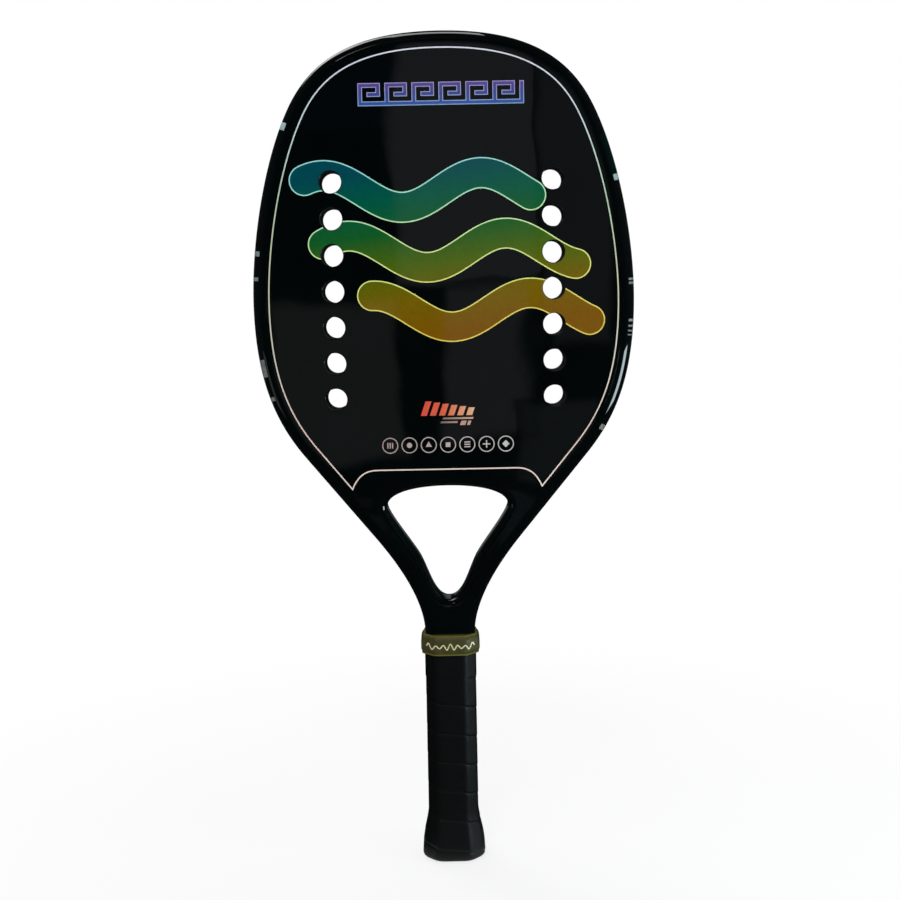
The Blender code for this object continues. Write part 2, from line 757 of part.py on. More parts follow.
def build():
    lacquer = surface("black_lacquer", (0.012, 0.013, 0.014), 0.12)
    drills = hole_cutter()
    rebates = rebate_cutter()
    staples = staple_cutter()
    for piece in (frame_tube(lacquer), throat_bridge(lacquer)):
        cut(piece, rebates)
    foam_core(surface("core_foam", (0.03, 0.03, 0.032), 0.9), drills)
    carbon = surface("carbon_face", (0.010, 0.011, 0.012), 0.10)
    face("front_face", -1, carbon, drills)
    face("rear_face", 1, carbon, drills)
    handle_foam = surface("handle_foam", (0.05, 0.05, 0.05), 0.8)
    neck_filler(surface("filler_foam", (0.02, 0.02, 0.02), 0.8))
    handle_half("handle_half_front", -1, handle_foam, staples)
    handle_half("handle_half_rear", 1, handle_foam, staples)
    butt_cap(surface("cap_plastic", (0.015, 0.015, 0.015), 0.5), staples)
    wire = surface("staple_wire", (0.6, 0.6, 0.6), 0.3, 1.0)
    cap_staple("cap_staple_left", -1, wire)
    cap_staple("cap_staple_right", 1, wire)
    grip_wrap(surface("grip_cushion", (0.012, 0.013, 0.013), 0.7))
    finishing_tape(surface("grip_tape", (0.02, 0.02, 0.022), 0.45))
    grip_collar(surface("olive_rubber", (0.062, 0.060, 0.008), 0.55))


for leftover in list(bpy.data.objects):
    bpy.data.objects.remove(leftover, do_unlink=True)
build()
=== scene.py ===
from math import atan2, cos, hypot, pi, radians, sin, sqrt, tan

import bmesh
import bpy
from mathutils import Matrix, Vector
from mathutils.geometry import delaunay_2d_cdt


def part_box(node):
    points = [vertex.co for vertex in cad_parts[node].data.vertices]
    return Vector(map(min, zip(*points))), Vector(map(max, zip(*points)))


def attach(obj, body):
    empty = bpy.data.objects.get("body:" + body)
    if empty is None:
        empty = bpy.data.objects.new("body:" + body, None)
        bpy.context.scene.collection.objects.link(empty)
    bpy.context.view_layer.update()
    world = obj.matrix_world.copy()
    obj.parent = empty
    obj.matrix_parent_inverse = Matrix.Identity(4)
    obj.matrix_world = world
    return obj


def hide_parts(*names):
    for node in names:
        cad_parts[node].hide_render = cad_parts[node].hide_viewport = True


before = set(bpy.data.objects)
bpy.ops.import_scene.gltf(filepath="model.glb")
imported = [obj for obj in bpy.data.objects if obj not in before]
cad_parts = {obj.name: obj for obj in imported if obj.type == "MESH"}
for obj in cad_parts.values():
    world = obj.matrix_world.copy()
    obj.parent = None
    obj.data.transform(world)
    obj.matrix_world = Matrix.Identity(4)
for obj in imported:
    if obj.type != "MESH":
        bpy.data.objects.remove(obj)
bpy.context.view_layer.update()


# Hoop: a tube of carbon cloth, moulded over an air bladder in one go with the two throat arms, and the
# yoke that closes the head above the throat. The joints are filled flush and the whole is lacquered
# black, so it shows as one piece. Points of a plan are (x, z), down the right-hand side from the crown.

hoop_low, hoop_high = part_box("frame_tube")
HALF_THICKNESS = hoop_high.y
CROWN = Vector((0, hoop_high.z))
SHOULDER = Vector((0.0883, 0.4587))
SHOULDER_SLOPE = radians(62.3)
WIDEST = Vector((hoop_high.x, 0.3438))
HIP = Vector((0.0847, 0.2518))
ARM_FOOT = Vector((0.04425, 0.2023))
NECK = Vector((0.01515, 0.1419))
NECK_END = 0.133
LEG_GAP = 0.004
LEG_WIDTH = 0.0082
LEG_THICKNESS = 0.014
LEG_ROUND = 0.0025

THROAT_TOP = Vector((0, 0.2338))
THROAT_CORNER_HEIGHT = 0.2213
THROAT_CORNER_DEPTH = 0.0180
THROAT_SIDE_HEIGHT = 0.1882
THROAT_SIDE_DEPTH = 0.0127
THROAT_SIDE_SLOPE = radians(25)
THROAT_FOOT = Vector((0, 0.1640))

# How far each curve runs straight on from its two ends, as shares of the distance between them
CROWN_PULLS = (0.478, 0.326)
SHOULDER_PULLS = (0.282, 0.313)
FLANK_PULLS = (0.45, 0.30)
NECK_PULLS = (0.41, 0.27)
THROAT_TOP_PULLS = (0.52, 0.22)
THROAT_SIDE_PULLS = (0.14, 0.21)
THROAT_FOOT_PULLS = (0.42, 0.28)

OUTER_ROUND_DEPTH = 0.0065
OUTER_ROUND_RISE = 0.0075
THROAT_ROUND = 0.0045
EDGE_HOLD = 0.0004
FACE_INSET = 0.0075
FACE_THICKNESS = 0.001
FACE_FOOT = 0.2405
FACE_FOOT_HALF_WIDTH = 0.045
FACE_CORNER = 0.2285
FACE_CORNER_STEPS = 14
CORE_INSET = 0.0165
CORE_FOOT = 0.2485
LEG_OVERLAP = 0.001
SAME_PLACE = 1e-6
CUT_TOLERANCE = 1e-7

DOWN = Vector((0, -1))
RIGHT = Vector((1, 0))
LEFT = Vector((-1, 0))


def bow(start, start_way, end, end_way, pulls, steps):
    """Points of a cubic curve that leaves start along start_way and reaches end along end_way"""
    reach = (end - start).length
    first = start + start_way * reach * pulls[0]
    second = end - end_way * reach * pulls[1]
    points = []
    for step in range(steps + 1):
        t = step / steps
        s = 1 - t
        points.append(s**3 * start + 3 * s * s * t * first + 3 * s * t * t * second + t**3 * end)
    return points


def line(start, end, steps):
    return [start.lerp(end, step / steps) for step in range(steps + 1)]


def joined(*chains):
    """One chain from several that follow each other, with no point twice"""
    points = list(chains[0])
    for chain in chains[1:]:
        points += [point for point in chain if (point - points[-1]).length > SAME_PLACE]
    return points


def inset(chain, distance):
    """The chain moved inwards, square to its own direction"""
    moved = []
    for index, point in enumerate(chain):
        before = chain[max(index - 1, 0)]
        after = chain[min(index + 1, len(chain) - 1)]
        way = (point - before).normalized() + (after - point).normalized()
        way = RIGHT if point.x == 0 else way.normalized()
        moved.append(point + Vector((way.y, -way.x)) * distance)
    return moved


def down_to(chain, height):
    """The chain cut off where it first falls below a height"""
    kept = [chain[0]]
    for before, after in zip(chain, chain[1:]):
        if after.y <= height + CUT_TOLERANCE:
            kept.append(before.lerp(after, (before.y - height) / (before.y - after.y)))
            return kept
        kept.append(after)
    return kept


def both_sides(chain):
    """A closed plan from its right-hand chain, which starts on the axis"""
    ends_on_axis = abs(chain[-1].x) < SAME_PLACE
    beside_axis = chain[1:-1] if ends_on_axis else chain[1:]
    return list(chain) + [Vector((-point.x, point.y)) for point in reversed(beside_axis)]


def grown(plan, distance):
    """A closed plan, listed clockwise, with every edge moved outwards"""
    points = []
    for index, point in enumerate(plan):
        before = (point - plan[index - 1]).normalized()
        after = (plan[(index + 1) % len(plan)] - point).normalized()
        middle = Vector((-before.y - after.y, before.x + after.x)).normalized()
        points.append(point + middle * distance / middle.dot(Vector((-after.y, after.x))))
    return points


def stood(plan, y):
    """A plan in (x, z) as points at one depth"""
    return [Vector((point.x, y, point.y)) for point in plan]


def level(points, height):
    """Points in (x, y) at one height"""
    return [Vector((point.x, point.y, height)) for point in points]


def skin(mesh, rows, closed=False):
    """Faces between rows of as many points each; returns the rows' vertices"""
    grid = [[mesh.verts.new(point) for point in row] for row in rows]
    for first, second in zip(grid, grid[1:]):
        for index in range(len(first) if closed else len(first) - 1):
            after = (index + 1) % len(first)
            mesh.faces.new((first[index], first[after], second[after], second[index]))
    return grid


def solid_skin(mesh, rows):
    """A tube of faces between rows, with its first and last row filled"""
    grid = skin(mesh, rows, closed=True)
    mesh.faces.new(grid[0])
    mesh.faces.new(grid[-1])


def merge(mesh):
    bmesh.ops.remove_doubles(mesh, verts=mesh.verts, dist=SAME_PLACE)


def fill_level(mesh, y):
    """Closes the flat between all open edges that lie at one depth"""
    merge(mesh)
    edges = [edge for edge in mesh.edges if edge.is_boundary
             and all(abs(vertex.co.y - y) < SAME_PLACE for vertex in edge.verts)]
    bmesh.ops.triangle_fill(mesh, use_beauty=True, use_dissolve=False, edges=edges)


def placed(name, data):
    """An object in the scene with that mesh, camera or lamp"""
    piece = bpy.data.objects.new(name, data)
    bpy.context.scene.collection.objects.link(piece)
    return piece


def dressed(name, mesh, material, slot, *nodes, crease=35):
    """A finished mesh as a piece of the racket, in the place of those nodes"""
    merge(mesh)
    bmesh.ops.recalc_face_normals(mesh, faces=mesh.faces)
    data = bpy.data.meshes.new(name)
    mesh.to_mesh(data)
    mesh.free()
    data.shade_smooth()
    data.set_sharp_from_angle(angle=radians(crease))
    data.materials.append(material)
    piece = placed(name, data)
    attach(piece, "root")
    if nodes:
        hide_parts(*nodes)


def add(source, kind, inputs=None, **settings):
    """A shader node in the tree of a socket, or in a tree; inputs are linked to sockets or set to values"""
    tree = source.id_data
    node = tree.nodes.new("ShaderNode" + kind)
    for name, value in settings.items():
        setattr(node, name, value)
    for name, value in (inputs or {}).items():
        if isinstance(value, bpy.types.NodeSocket):
            tree.links.new(value, node.inputs[name])
        else:
            node.inputs[name].default_value = value
    return node


def finish(name, roughness, **sockets):
    """A new material; returns it with its shader and the place on the racket"""
    material = bpy.data.materials.new(name)
    material.use_nodes = True
    tree = material.node_tree
    shader = tree.nodes["Principled BSDF"]
    shader.inputs["Roughness"].default_value = roughness
    for socket, value in sockets.items():
        shader.inputs[socket.replace("_", " ")].default_value = value
    return material, shader, add(tree, "TexCoord").outputs["Object"]


def ramp(factor, stops):
    """A colour ramp through (place, (red, green, blue)) stops"""
    node = add(factor, "ValToRGB", {"Fac": factor})
    elements = node.color_ramp.elements
    elements.remove(elements[1])
    for index, (place, color) in enumerate(stops):
        element = elements[0] if index == 0 else elements.new(place)
        element.position = place
        element.color = (*color, 1)
    return node.outputs["Color"]


def noise(place, scale, detail):
    return add(place, "TexNoise", {"Vector": place, "Scale": scale, "Detail": detail}).outputs["Fac"]


def tinted(color, gain):
    return tuple(gain * part for part in color)


def mottled(factor, color, gain, high=0.7):
    """The colour where the factor is low, and a lighter one by the gain where it is high"""
    return ramp(factor, [(0.3, color), (high, tinted(color, gain))])


def bump(height, depth, **inputs):
    return add(height, "Bump", {"Height": height, "Distance": depth, **inputs}).outputs["Normal"]


def toned(factor, low, high):
    """One colour where the factor is 0 and another where it is 1"""
    node = add(factor, "Mix", {"Factor": factor, "A": low, "B": high}, data_type='RGBA')
    return node.outputs["Result"]


def connect(shader, **sources):
    """Links node outputs to the shader's sockets"""
    for socket, source in sources.items():
        shader.id_data.links.new(source, shader.inputs[socket.replace("_", " ")])


def lacquer(name, tint):
    """Clear lacquer over black paint: a faint orange peel on long soft waves, with a little dust"""
    material, shader, place = finish(name, 0.45, Coat_Weight=1.0, Coat_Roughness=0.03,
                                     Specular_IOR_Level=0.0)
    wave = bump(noise(place, scale=14, detail=1), depth=5.5e-4)
    ripple = bump(noise(place, scale=42, detail=0), depth=9e-5, Normal=wave)
    peel = bump(noise(place, scale=170, detail=1), depth=4e-6, Normal=ripple)
    paint = mottled(noise(place, scale=23, detail=4), tint, gain=1.5, high=0.75)
    specks = ramp(noise(place, scale=900, detail=2), [(0.74, (0, 0, 0)), (0.80, (1, 1, 1))])
    dusted = toned(specks, paint, (0.02, 0.02, 0.02, 1))
    connect(shader, Base_Color=dusted, Normal=peel, Coat_Normal=peel)
    return material


def beside_arm(height, depth):
    """The point at a height that lies a depth inside the straight part of the arm"""
    lean = (HIP.x - ARM_FOOT.x) / (HIP.y - ARM_FOOT.y)
    return Vector((HIP.x - (HIP.y - height) * lean - depth * hypot(1, lean), height))


arm_way = (ARM_FOOT - HIP).normalized()
corner_run = (HIP.y + FACE_INSET * -arm_way.x - FACE_CORNER) / -arm_way.y
corner_station = HIP + arm_way * corner_run
shoulder_way = Vector((cos(SHOULDER_SLOPE), -sin(SHOULDER_SLOPE)))
head = joined(
    bow(CROWN, RIGHT, SHOULDER, shoulder_way, CROWN_PULLS, steps=36),
    bow(SHOULDER, shoulder_way, WIDEST, DOWN, SHOULDER_PULLS, steps=40),
    bow(WIDEST, DOWN, HIP, arm_way, FLANK_PULLS, steps=34),
    line(HIP, corner_station, steps=10),
)
neck = joined(
    line(corner_station, ARM_FOOT, steps=8),
    bow(ARM_FOOT, arm_way, NECK, DOWN, NECK_PULLS, steps=30),
    line(NECK, Vector((NECK.x, NECK_END)), steps=4),
)
outline = joined(head, neck)

side_way = Vector((-sin(THROAT_SIDE_SLOPE), -cos(THROAT_SIDE_SLOPE)))
throat_corner = beside_arm(THROAT_CORNER_HEIGHT, THROAT_CORNER_DEPTH)
throat_side = beside_arm(THROAT_SIDE_HEIGHT, THROAT_SIDE_DEPTH)
throat = both_sides(joined(
    bow(THROAT_TOP, RIGHT, throat_corner, DOWN, THROAT_TOP_PULLS, steps=30),
    bow(throat_corner, DOWN, throat_side, side_way, THROAT_SIDE_PULLS, steps=18),
    bow(throat_side, side_way, THROAT_FOOT, LEFT, THROAT_FOOT_PULLS, steps=22),
))


def quarter(steps):
    """Angles in equal steps from nothing to a right angle"""
    return [pi / 2 * step / steps for step in range(steps + 1)]


def unit(turn):
    return Vector((cos(turn), sin(turn)))


def face_plan():
    """Plan of a face, which ends above the throat in a straight foot with two hollow corners"""
    edge = inset(outline, FACE_INSET)[:len(head)]
    corner = edge[-1]
    arc = [Vector((FACE_FOOT_HALF_WIDTH + (corner.x - FACE_FOOT_HALF_WIDTH) * cos(turn),
                   corner.y + (FACE_FOOT - corner.y) * sin(turn)))
           for turn in quarter(FACE_CORNER_STEPS)[1:]]
    return both_sides(edge + arc)


def rounded_edge(depth, rise, steps, hold):
    """Half a section from the flat to the middle of the side, as (distance in, y) points"""
    arc = [(depth * (1 - sin(turn)), rise * (1 - cos(turn)) - HALF_THICKNESS)
           for turn in quarter(steps)]
    return [(depth + hold, -HALF_THICKNESS)] + arc


def whole_section(front):
    return front + [(inwards, -y) for inwards, y in reversed(front)]


def leg(mesh, side):
    """One of the two legs that run on down inside the handle, with rounded edges"""
    middle = Vector((side * (LEG_GAP + LEG_WIDTH) / 2, 0))
    ring = []
    for turned, right, up in ((0, 1, 1), (1, -1, 1), (2, -1, -1), (3, 1, -1)):
        corner = middle + Vector((right * (LEG_WIDTH / 2 - LEG_ROUND), up * (LEG_THICKNESS / 2 - LEG_ROUND)))
        ring += [corner + unit(pi / 2 * turned + turn) * LEG_ROUND for turn in quarter(steps=3)]
    solid_skin(mesh, [level(ring, hoop_low.z), level(ring, NECK_END + LEG_OVERLAP)])


def moulded_hoop():
    mesh = bmesh.new()
    rim = rounded_edge(OUTER_ROUND_DEPTH, OUTER_ROUND_RISE, steps=9, hold=FACE_INSET - OUTER_ROUND_DEPTH)
    columns = [stood(inset(outline, inwards), y) for inwards, y in whole_section(rim)]
    right = [list(row) for row in zip(*columns)]
    left = [[Vector((-p.x, p.y, p.z)) for p in row] for row in reversed(right[1:])]
    band = skin(mesh, left + right)
    mesh.faces.new(band[0] + band[-1][::-1])
    throat_rim = whole_section(rounded_edge(THROAT_ROUND, THROAT_ROUND, steps=7, hold=EDGE_HOLD))
    skin(mesh, [stood(grown(throat, inwards), y) for inwards, y in throat_rim], closed=True)
    seat = HALF_THICKNESS - FACE_THICKNESS
    for side in (-1, 1):
        skin(mesh, [stood(face_plan(), side * HALF_THICKNESS), stood(face_plan(), side * seat)], closed=True)
    skin(mesh, [stood(core_plan, -seat), stood(core_plan, seat)], closed=True)
    for y in (-HALF_THICKNESS, HALF_THICKNESS, -seat, seat):
        fill_level(mesh, y)
    for side in (-1, 1):
        leg(mesh, side)
    return mesh


core_plan = both_sides(down_to(inset(outline, CORE_INSET), CORE_FOOT))
dressed("moulded_hoop", moulded_hoop(), lacquer("hoop_lacquer", (0.0006, 0.0012, 0.0012)), "frame",
        "frame_tube", "throat_bridge", "neck_filler")


# Core: a slab of soft closed-cell foam between the faces. The fourteen holes are drilled right through
# it once the faces are on, and their walls stay bare.

HOLE_RADIUS = 0.0065
HOLE_COLUMN = 0.06495
TOP_HOLE = 0.4143
HOLE_PITCH = 0.0212
HOLES_PER_COLUMN = 7
HOLE_SIDES = 48
FOAM_UNDERCUT = 0.0001

hole_middles = [Vector((side * HOLE_COLUMN, TOP_HOLE - row * HOLE_PITCH))
                for side in (-1, 1) for row in range(HOLES_PER_COLUMN)]


def circle(middle, radius, sides=HOLE_SIDES, start=0.0):
    """A closed plan, listed clockwise from a starting angle"""
    return [middle + unit(start - 2 * pi * step / sides) * radius for step in range(sides)]


def cell_foam(name, color):
    """Closed-cell foam: a dull mottled skin with small open cells where it is cut"""
    material, shader, place = finish(name, 0.85)
    cells = add(place, "TexVoronoi", {"Vector": place, "Scale": 1400}).outputs["Distance"]
    skin_color = mottled(noise(place, scale=160, detail=3), color, gain=1.6)
    connect(shader, Base_Color=skin_color, Normal=bump(cells, depth=1.5e-4, Strength=0.6))
    return material


def drilled_core():
    mesh = bmesh.new()
    seat = HALF_THICKNESS - FACE_THICKNESS
    loops = [core_plan] + [circle(middle, HOLE_RADIUS + FOAM_UNDERCUT) for middle in hole_middles]
    for loop in loops:
        skin(mesh, [stood(loop, -seat), stood(loop, seat)], closed=True)
    for y in (-seat, seat):
        fill_level(mesh, y)
    return mesh


dressed("drilled_foam_core", drilled_core(), cell_foam("core_foam", (0.012, 0.012, 0.013)), "core",
        "foam_core")


# Faces: carbon laminate a millimetre thick, bonded over the core and the hoop's rebate, drilled with
# it and painted and lacquered black. The edges are sanded, so the joint hardly shows.

SANDED_EDGE = 0.0001
HOLE_EDGE = 0.00025


def rim_rows(rounding):
    """Rows of a sanded edge, from the back of the face to its flat, as (distance in, y) points"""
    front = rounded_edge(rounding, rounding, steps=3, hold=EDGE_HOLD)
    return [(0, HALF_THICKNESS - FACE_THICKNESS)] + [(inwards, -y) for inwards, y in reversed(front)]


def face_plate(side):
    mesh = bmesh.new()
    plan = face_plan()
    skin(mesh, [stood(grown(plan, -inwards), side * y) for inwards, y in rim_rows(SANDED_EDGE)], closed=True)
    for middle in hole_middles:
        skin(mesh, [stood(circle(middle, HOLE_RADIUS + inwards), side * y)
                    for inwards, y in rim_rows(HOLE_EDGE)], closed=True)
    for y in (HALF_THICKNESS, HALF_THICKNESS - FACE_THICKNESS):
        fill_level(mesh, side * y)
    return mesh


face_lacquer = lacquer("face_lacquer", (0.0005, 0.0011, 0.0012))
for side, name in ((-1, "front"), (1, "rear")):
    dressed(name + "_carbon_face", face_plate(side), face_lacquer, "face", name + "_face")


# Printed line round the face: a pale metallic film that shifts from lilac at the crown through mint at
# the sides to rose at the foot, cut to follow the edge and fixed under the last coat of lacquer.

FILM_PROUD = 0.00003
FILM_SUNK = 0.00001
SAME_DIGITS = 7
LINE_CROWN_INSET = 0.0106
LINE_FOOT_INSET = 0.0098
LINE_WIDTH = 0.00078
LINE_FOOT = 0.2443
LINE_FOOT_HALF_WIDTH = 0.0415
LINE_CORNER = 0.2331
LINE_CORNER_LEAN = radians(23)
LINE_CORNER_PULLS = (0.42, 0.42)
UP = Vector((0, 1))

# Colours of the prints as they look on screen, 0 to 255, at shares of the way along each
LINE_COLORS = (
    (0.0, (250, 230, 220)), (0.12, (240, 208, 200)), (0.30, (228, 218, 204)), (0.50, (206, 210, 176)),
    (0.68, (190, 214, 188)), (0.84, (214, 230, 232)), (1.0, (228, 230, 244)),
)


def within(point, loop):
    """Whether a point lies inside a closed plan"""
    inside = False
    before = loop[-1]
    for after in loop:
        if (before.y > point.y) != (after.y > point.y):
            reach = before.x + (after.x - before.x) * (point.y - before.y) / (after.y - before.y)
            inside ^= point.x < reach
        before = after
    return inside


def in_any(point, loops):
    return any(within(point, loop) for loop in loops)


def cut_film(inside, outside):
    """Flat triangles within any of the first plans and outside all of the others; plans may cross"""
    points = []
    edges = []
    for loop in inside + outside:
        first = len(points)
        points += loop
        edges += [(first + index, first + (index + 1) % len(loop)) for index in range(len(loop))]
    corners, _, faces, *_ = delaunay_2d_cdt(points, edges, [], 0, CUT_TOLERANCE)
    found = []
    for face in faces:
        triangle = [corners[index] for index in face]
        middle = sum(triangle, Vector((0, 0))) / len(face)
        if in_any(middle, inside) and not in_any(middle, outside):
            found.append(triangle)
    return found


def film_plate(mesh, triangles, side):
    """The triangles as one thin plate on a face, a hair proud of it"""
    layers = (side * (HALF_THICKNESS + FILM_PROUD), side * (HALF_THICKNESS - FILM_SUNK))
    seen = {}

    def vertex(point, layer):
        key = (round(point.x, SAME_DIGITS), round(point.y, SAME_DIGITS), layer)
        if key not in seen:
            seen[key] = mesh.verts.new((point.x, layers[layer], point.y))
        return seen[key]

    edges = {}
    for triangle in triangles:
        for layer in (0, 1):
            mesh.faces.new([vertex(point, layer) for point in triangle])
        for index, point in enumerate(triangle):
            pair = (vertex(triangle[index - 1], 0), vertex(point, 0))
            edges.setdefault(frozenset(pair), []).append((triangle[index - 1], point))
    for uses in edges.values():
        if len(uses) == 1:
            first, second = uses[0]
            mesh.faces.new((vertex(first, 0), vertex(second, 0), vertex(second, 1), vertex(first, 1)))


def printed(name, inside, outside, material):
    """A printed figure on both faces; the rear one reads the same from behind"""
    triangles = cut_film(inside, outside)
    mesh = bmesh.new()
    for side in (-1, 1):
        turned = [[Vector((-side * point.x, point.y)) for point in triangle] for triangle in triangles]
        film_plate(mesh, turned, side)
    dressed(name, mesh, material, "face")


def screen_color(red, green, blue):
    """A colour on screen as a shader's linear colour"""
    shares = [value / 255 for value in (red, green, blue)]
    return tuple(v / 12.92 if v <= 0.04045 else ((v + 0.055) / 1.055) ** 2.4 for v in shares)


def spread(factor, low, high):
    """The middle part of a noise's range, spread from one value to another"""
    node = add(factor, "MapRange", {"Value": factor, "From Min": 0.3, "From Max": 0.7, "To Min": low,
                                    "To Max": high})
    return node.outputs["Result"]


def share_along(place, way, low, high):
    """0 to 1 between two distances along a direction of the face"""
    along = add(place, "VectorMath", {0: place, 1: (way.x, 0, way.y)}, operation='DOT_PRODUCT')
    node = add(place, "MapRange", {"Value": along.outputs["Value"], "From Min": low, "From Max": high})
    return node.outputs["Result"]


def film(name, colors, way, low, high, shine=0.35, flecks=0.06):
    """Flecked print film under lacquer; its colours change between two distances along a direction"""
    material, shader, place = finish(name, 0.4, Metallic=shine, Coat_Weight=1.0, Coat_Roughness=0.035,
                                     Specular_IOR_Level=0.0)
    stops = [(share, screen_color(*color)) for share, color in colors]
    base = ramp(share_along(place, way, low, high), stops)
    dim = spread(noise(place, scale=420, detail=3), 1 - flecks, 1 + flecks)
    tint = add(place, "VectorMath", {0: base, "Scale": dim}, operation='SCALE')
    connect(shader, Base_Color=tint.outputs["Vector"])
    return material


def line_plan():
    edge = []
    for near, far in zip(inset(outline, LINE_FOOT_INSET), inset(outline, LINE_CROWN_INSET)):
        edge.append(near.lerp(far, (near.y - LINE_CORNER) / (CROWN.y - LINE_CORNER)))
    edge = down_to(edge, LINE_CORNER)
    leaving = Vector((-sin(LINE_CORNER_LEAN), cos(LINE_CORNER_LEAN)))
    foot = Vector((LINE_FOOT_HALF_WIDTH, LINE_FOOT))
    return both_sides(edge + bow(edge[-1], leaving, foot, LEFT, LINE_CORNER_PULLS, steps=14)[1:])


printed("edge_line", [grown(line_plan(), LINE_WIDTH / 2)], [grown(line_plan(), -LINE_WIDTH / 2)],
        film("edge_line_film", LINE_COLORS, UP, LINE_CORNER, CROWN.y - LINE_CROWN_INSET, shine=0.25))


# Wave print: three rolling waves, one below the other, in a film that turns from teal at the top left
# through green to old gold below, each with a light edge. The holes are drilled through it.

WAVE_WIDTH = 0.0165
WAVE_EDGE = 0.0007
WAVE_LENGTH = 0.092
WAVE_HEIGHT = 0.0095
WAVE_STEPS = 72
WAVE_LAG = 0.014
ROUND_END_STEPS = 14
DRILL_CLEARANCE = 0.0001

# Each wave: (left end, right end, height)
WAVES = ((-0.080, 0.052, 0.4085), (-0.070, 0.078, 0.3735), (-0.042, 0.086, 0.3385))
WAVE_COLOR_SPAN = (0.325, 0.425)
WAVE_COLOR_WAY = Vector((-0.12, 1))
WAVE_COLORS = (
    (0.0, (146, 98, 6)), (0.22, (136, 112, 8)), (0.42, (90, 118, 14)), (0.62, (26, 108, 44)),
    (0.82, (2, 102, 78)), (1.0, (4, 84, 96)),
)
WAVE_EDGE_COLORS = (
    (0.0, (226, 204, 92)), (0.3, (222, 226, 126)), (0.6, (200, 228, 160)), (0.85, (164, 226, 194)),
    (1.0, (150, 214, 212)),
)


def ribbon(centre, half_width):
    """Closed plan, clockwise, of a band with round ends along a chain of points"""
    ways = [(after - before).normalized()
            for before, after in zip(centre[:1] + centre, centre[1:] + centre[-1:])]
    sides = [[point + Vector((-way.y, way.x)) * reach for point, way in zip(centre, ways)]
             for reach in (half_width, -half_width)]
    ends = []
    for end, side in ((centre[-1], sides[0][-1]), (centre[0], sides[1][0])):
        start = atan2(side.y - end.y, side.x - end.x)
        ends.append([end + unit(start - pi * step / ROUND_END_STEPS) * half_width
                     for step in range(1, ROUND_END_STEPS)])
    return sides[0] + ends[0] + sides[1][::-1] + ends[1]


def wave_centre(start, end, height, lag):
    points = []
    for step in range(WAVE_STEPS + 1):
        x = start + (end - start) * step / WAVE_STEPS
        points.append(Vector((x, height + WAVE_HEIGHT * sin(2 * pi * (x - lag) / WAVE_LENGTH))))
    return points


wave_film = film("wave_film", WAVE_COLORS, WAVE_COLOR_WAY, *WAVE_COLOR_SPAN, shine=0.5, flecks=0.05)
wave_edge_film = film("wave_edge_film", WAVE_EDGE_COLORS, WAVE_COLOR_WAY, *WAVE_COLOR_SPAN, shine=0.1)
drilled = [circle(middle, HOLE_RADIUS + HOLE_EDGE + DRILL_CLEARANCE) for middle in hole_middles]
for index, (start, end, height) in enumerate(WAVES):
    centre = wave_centre(start, end, height, index * WAVE_LAG)
    fill = ribbon(centre, WAVE_WIDTH / 2)
    edge = ribbon(centre, WAVE_WIDTH / 2 + WAVE_EDGE)
    crossed = [hole for hole in drilled if any(within(point, edge) for point in hole)]
    printed("wave_" + str(index + 1), [fill], crossed, wave_film)
    printed("wave_edge_" + str(index + 1), [edge], [fill] + crossed, wave_edge_film)


# Key border across the top of the face: a plain running key in blue-violet film with a lilac edge, fixed
# under the last coat of lacquer like the other prints.

KEY_UNITS = 6
KEY_CELL = 0.0026
KEY_LEFT = -0.0462
KEY_FOOT = 0.4570
KEY_EDGE = 0.00045
UNIT_COLUMNS = 6
TOP_ROW = 4
KEY_HEIGHT = (TOP_ROW + 1) * KEY_CELL
KEY_COLORS = ((0.0, (62, 92, 170)), (0.5, (70, 76, 152)), (1.0, (92, 78, 150)))
KEY_EDGE_COLORS = ((0.0, (150, 190, 228)), (1.0, (176, 160, 216)))


def stroke(points, half_width):
    """Closed plan of a square-ended stroke along a line with right-angled corners"""
    ways = [(after - before).normalized() for before, after in zip(points, points[1:])]
    ways = [ways[0], *ways, ways[-1]]
    ends = [points[0] - ways[0] * half_width, *points[1:-1], points[-1] + ways[-1] * half_width]
    across = [Vector((-before.y - after.y, before.x + after.x)) * half_width / (1 + before.dot(after))
              for before, after in zip(ways, ways[1:])]
    return ([point + reach for point, reach in zip(ends, across)]
            + [point - reach for point, reach in zip(ends, across)][::-1])


def key_strokes(half_width):
    """Hooks on a common base line, and the upright that ends it, through (column, row) cells"""
    width = UNIT_COLUMNS * KEY_UNITS
    paths = [((0, 0), (width, 0), (width, TOP_ROW))]
    for left in range(0, width, UNIT_COLUMNS):
        paths.append(((left, 0), (left, TOP_ROW), (left + 4, TOP_ROW), (left + 4, 2), (left + 2, 2)))
    foot = Vector((KEY_LEFT, KEY_FOOT + KEY_CELL / 2))
    return [stroke([foot + Vector(cell) * KEY_CELL for cell in path], half_width) for path in paths]


key_inner = key_strokes(KEY_CELL / 2 - KEY_EDGE)
key_outer = key_strokes(KEY_CELL / 2)
printed("key_border", key_inner, [], film("key_film", KEY_COLORS, UP, KEY_FOOT, KEY_FOOT + KEY_HEIGHT))
printed("key_border_edge", key_outer, key_inner,
        film("key_edge_film", KEY_EDGE_COLORS, UP, KEY_FOOT, KEY_FOOT + KEY_HEIGHT))


# Small figure above the foot of the face: slanting bars in coral fading to peach, with a few thin grey
# ones under them, and below it a row of seven rings with plain signs in them.

BAR_FOOT = 0.2765
BAR_LEFT = -0.0150
BAR_PITCH = 0.0054
BAR_WIDTH = 0.0036
BAR_HEIGHT = 0.0086
BAR_DROP = 0.0008
BAR_COUNT = 6
BAR_SLANT = 0.35
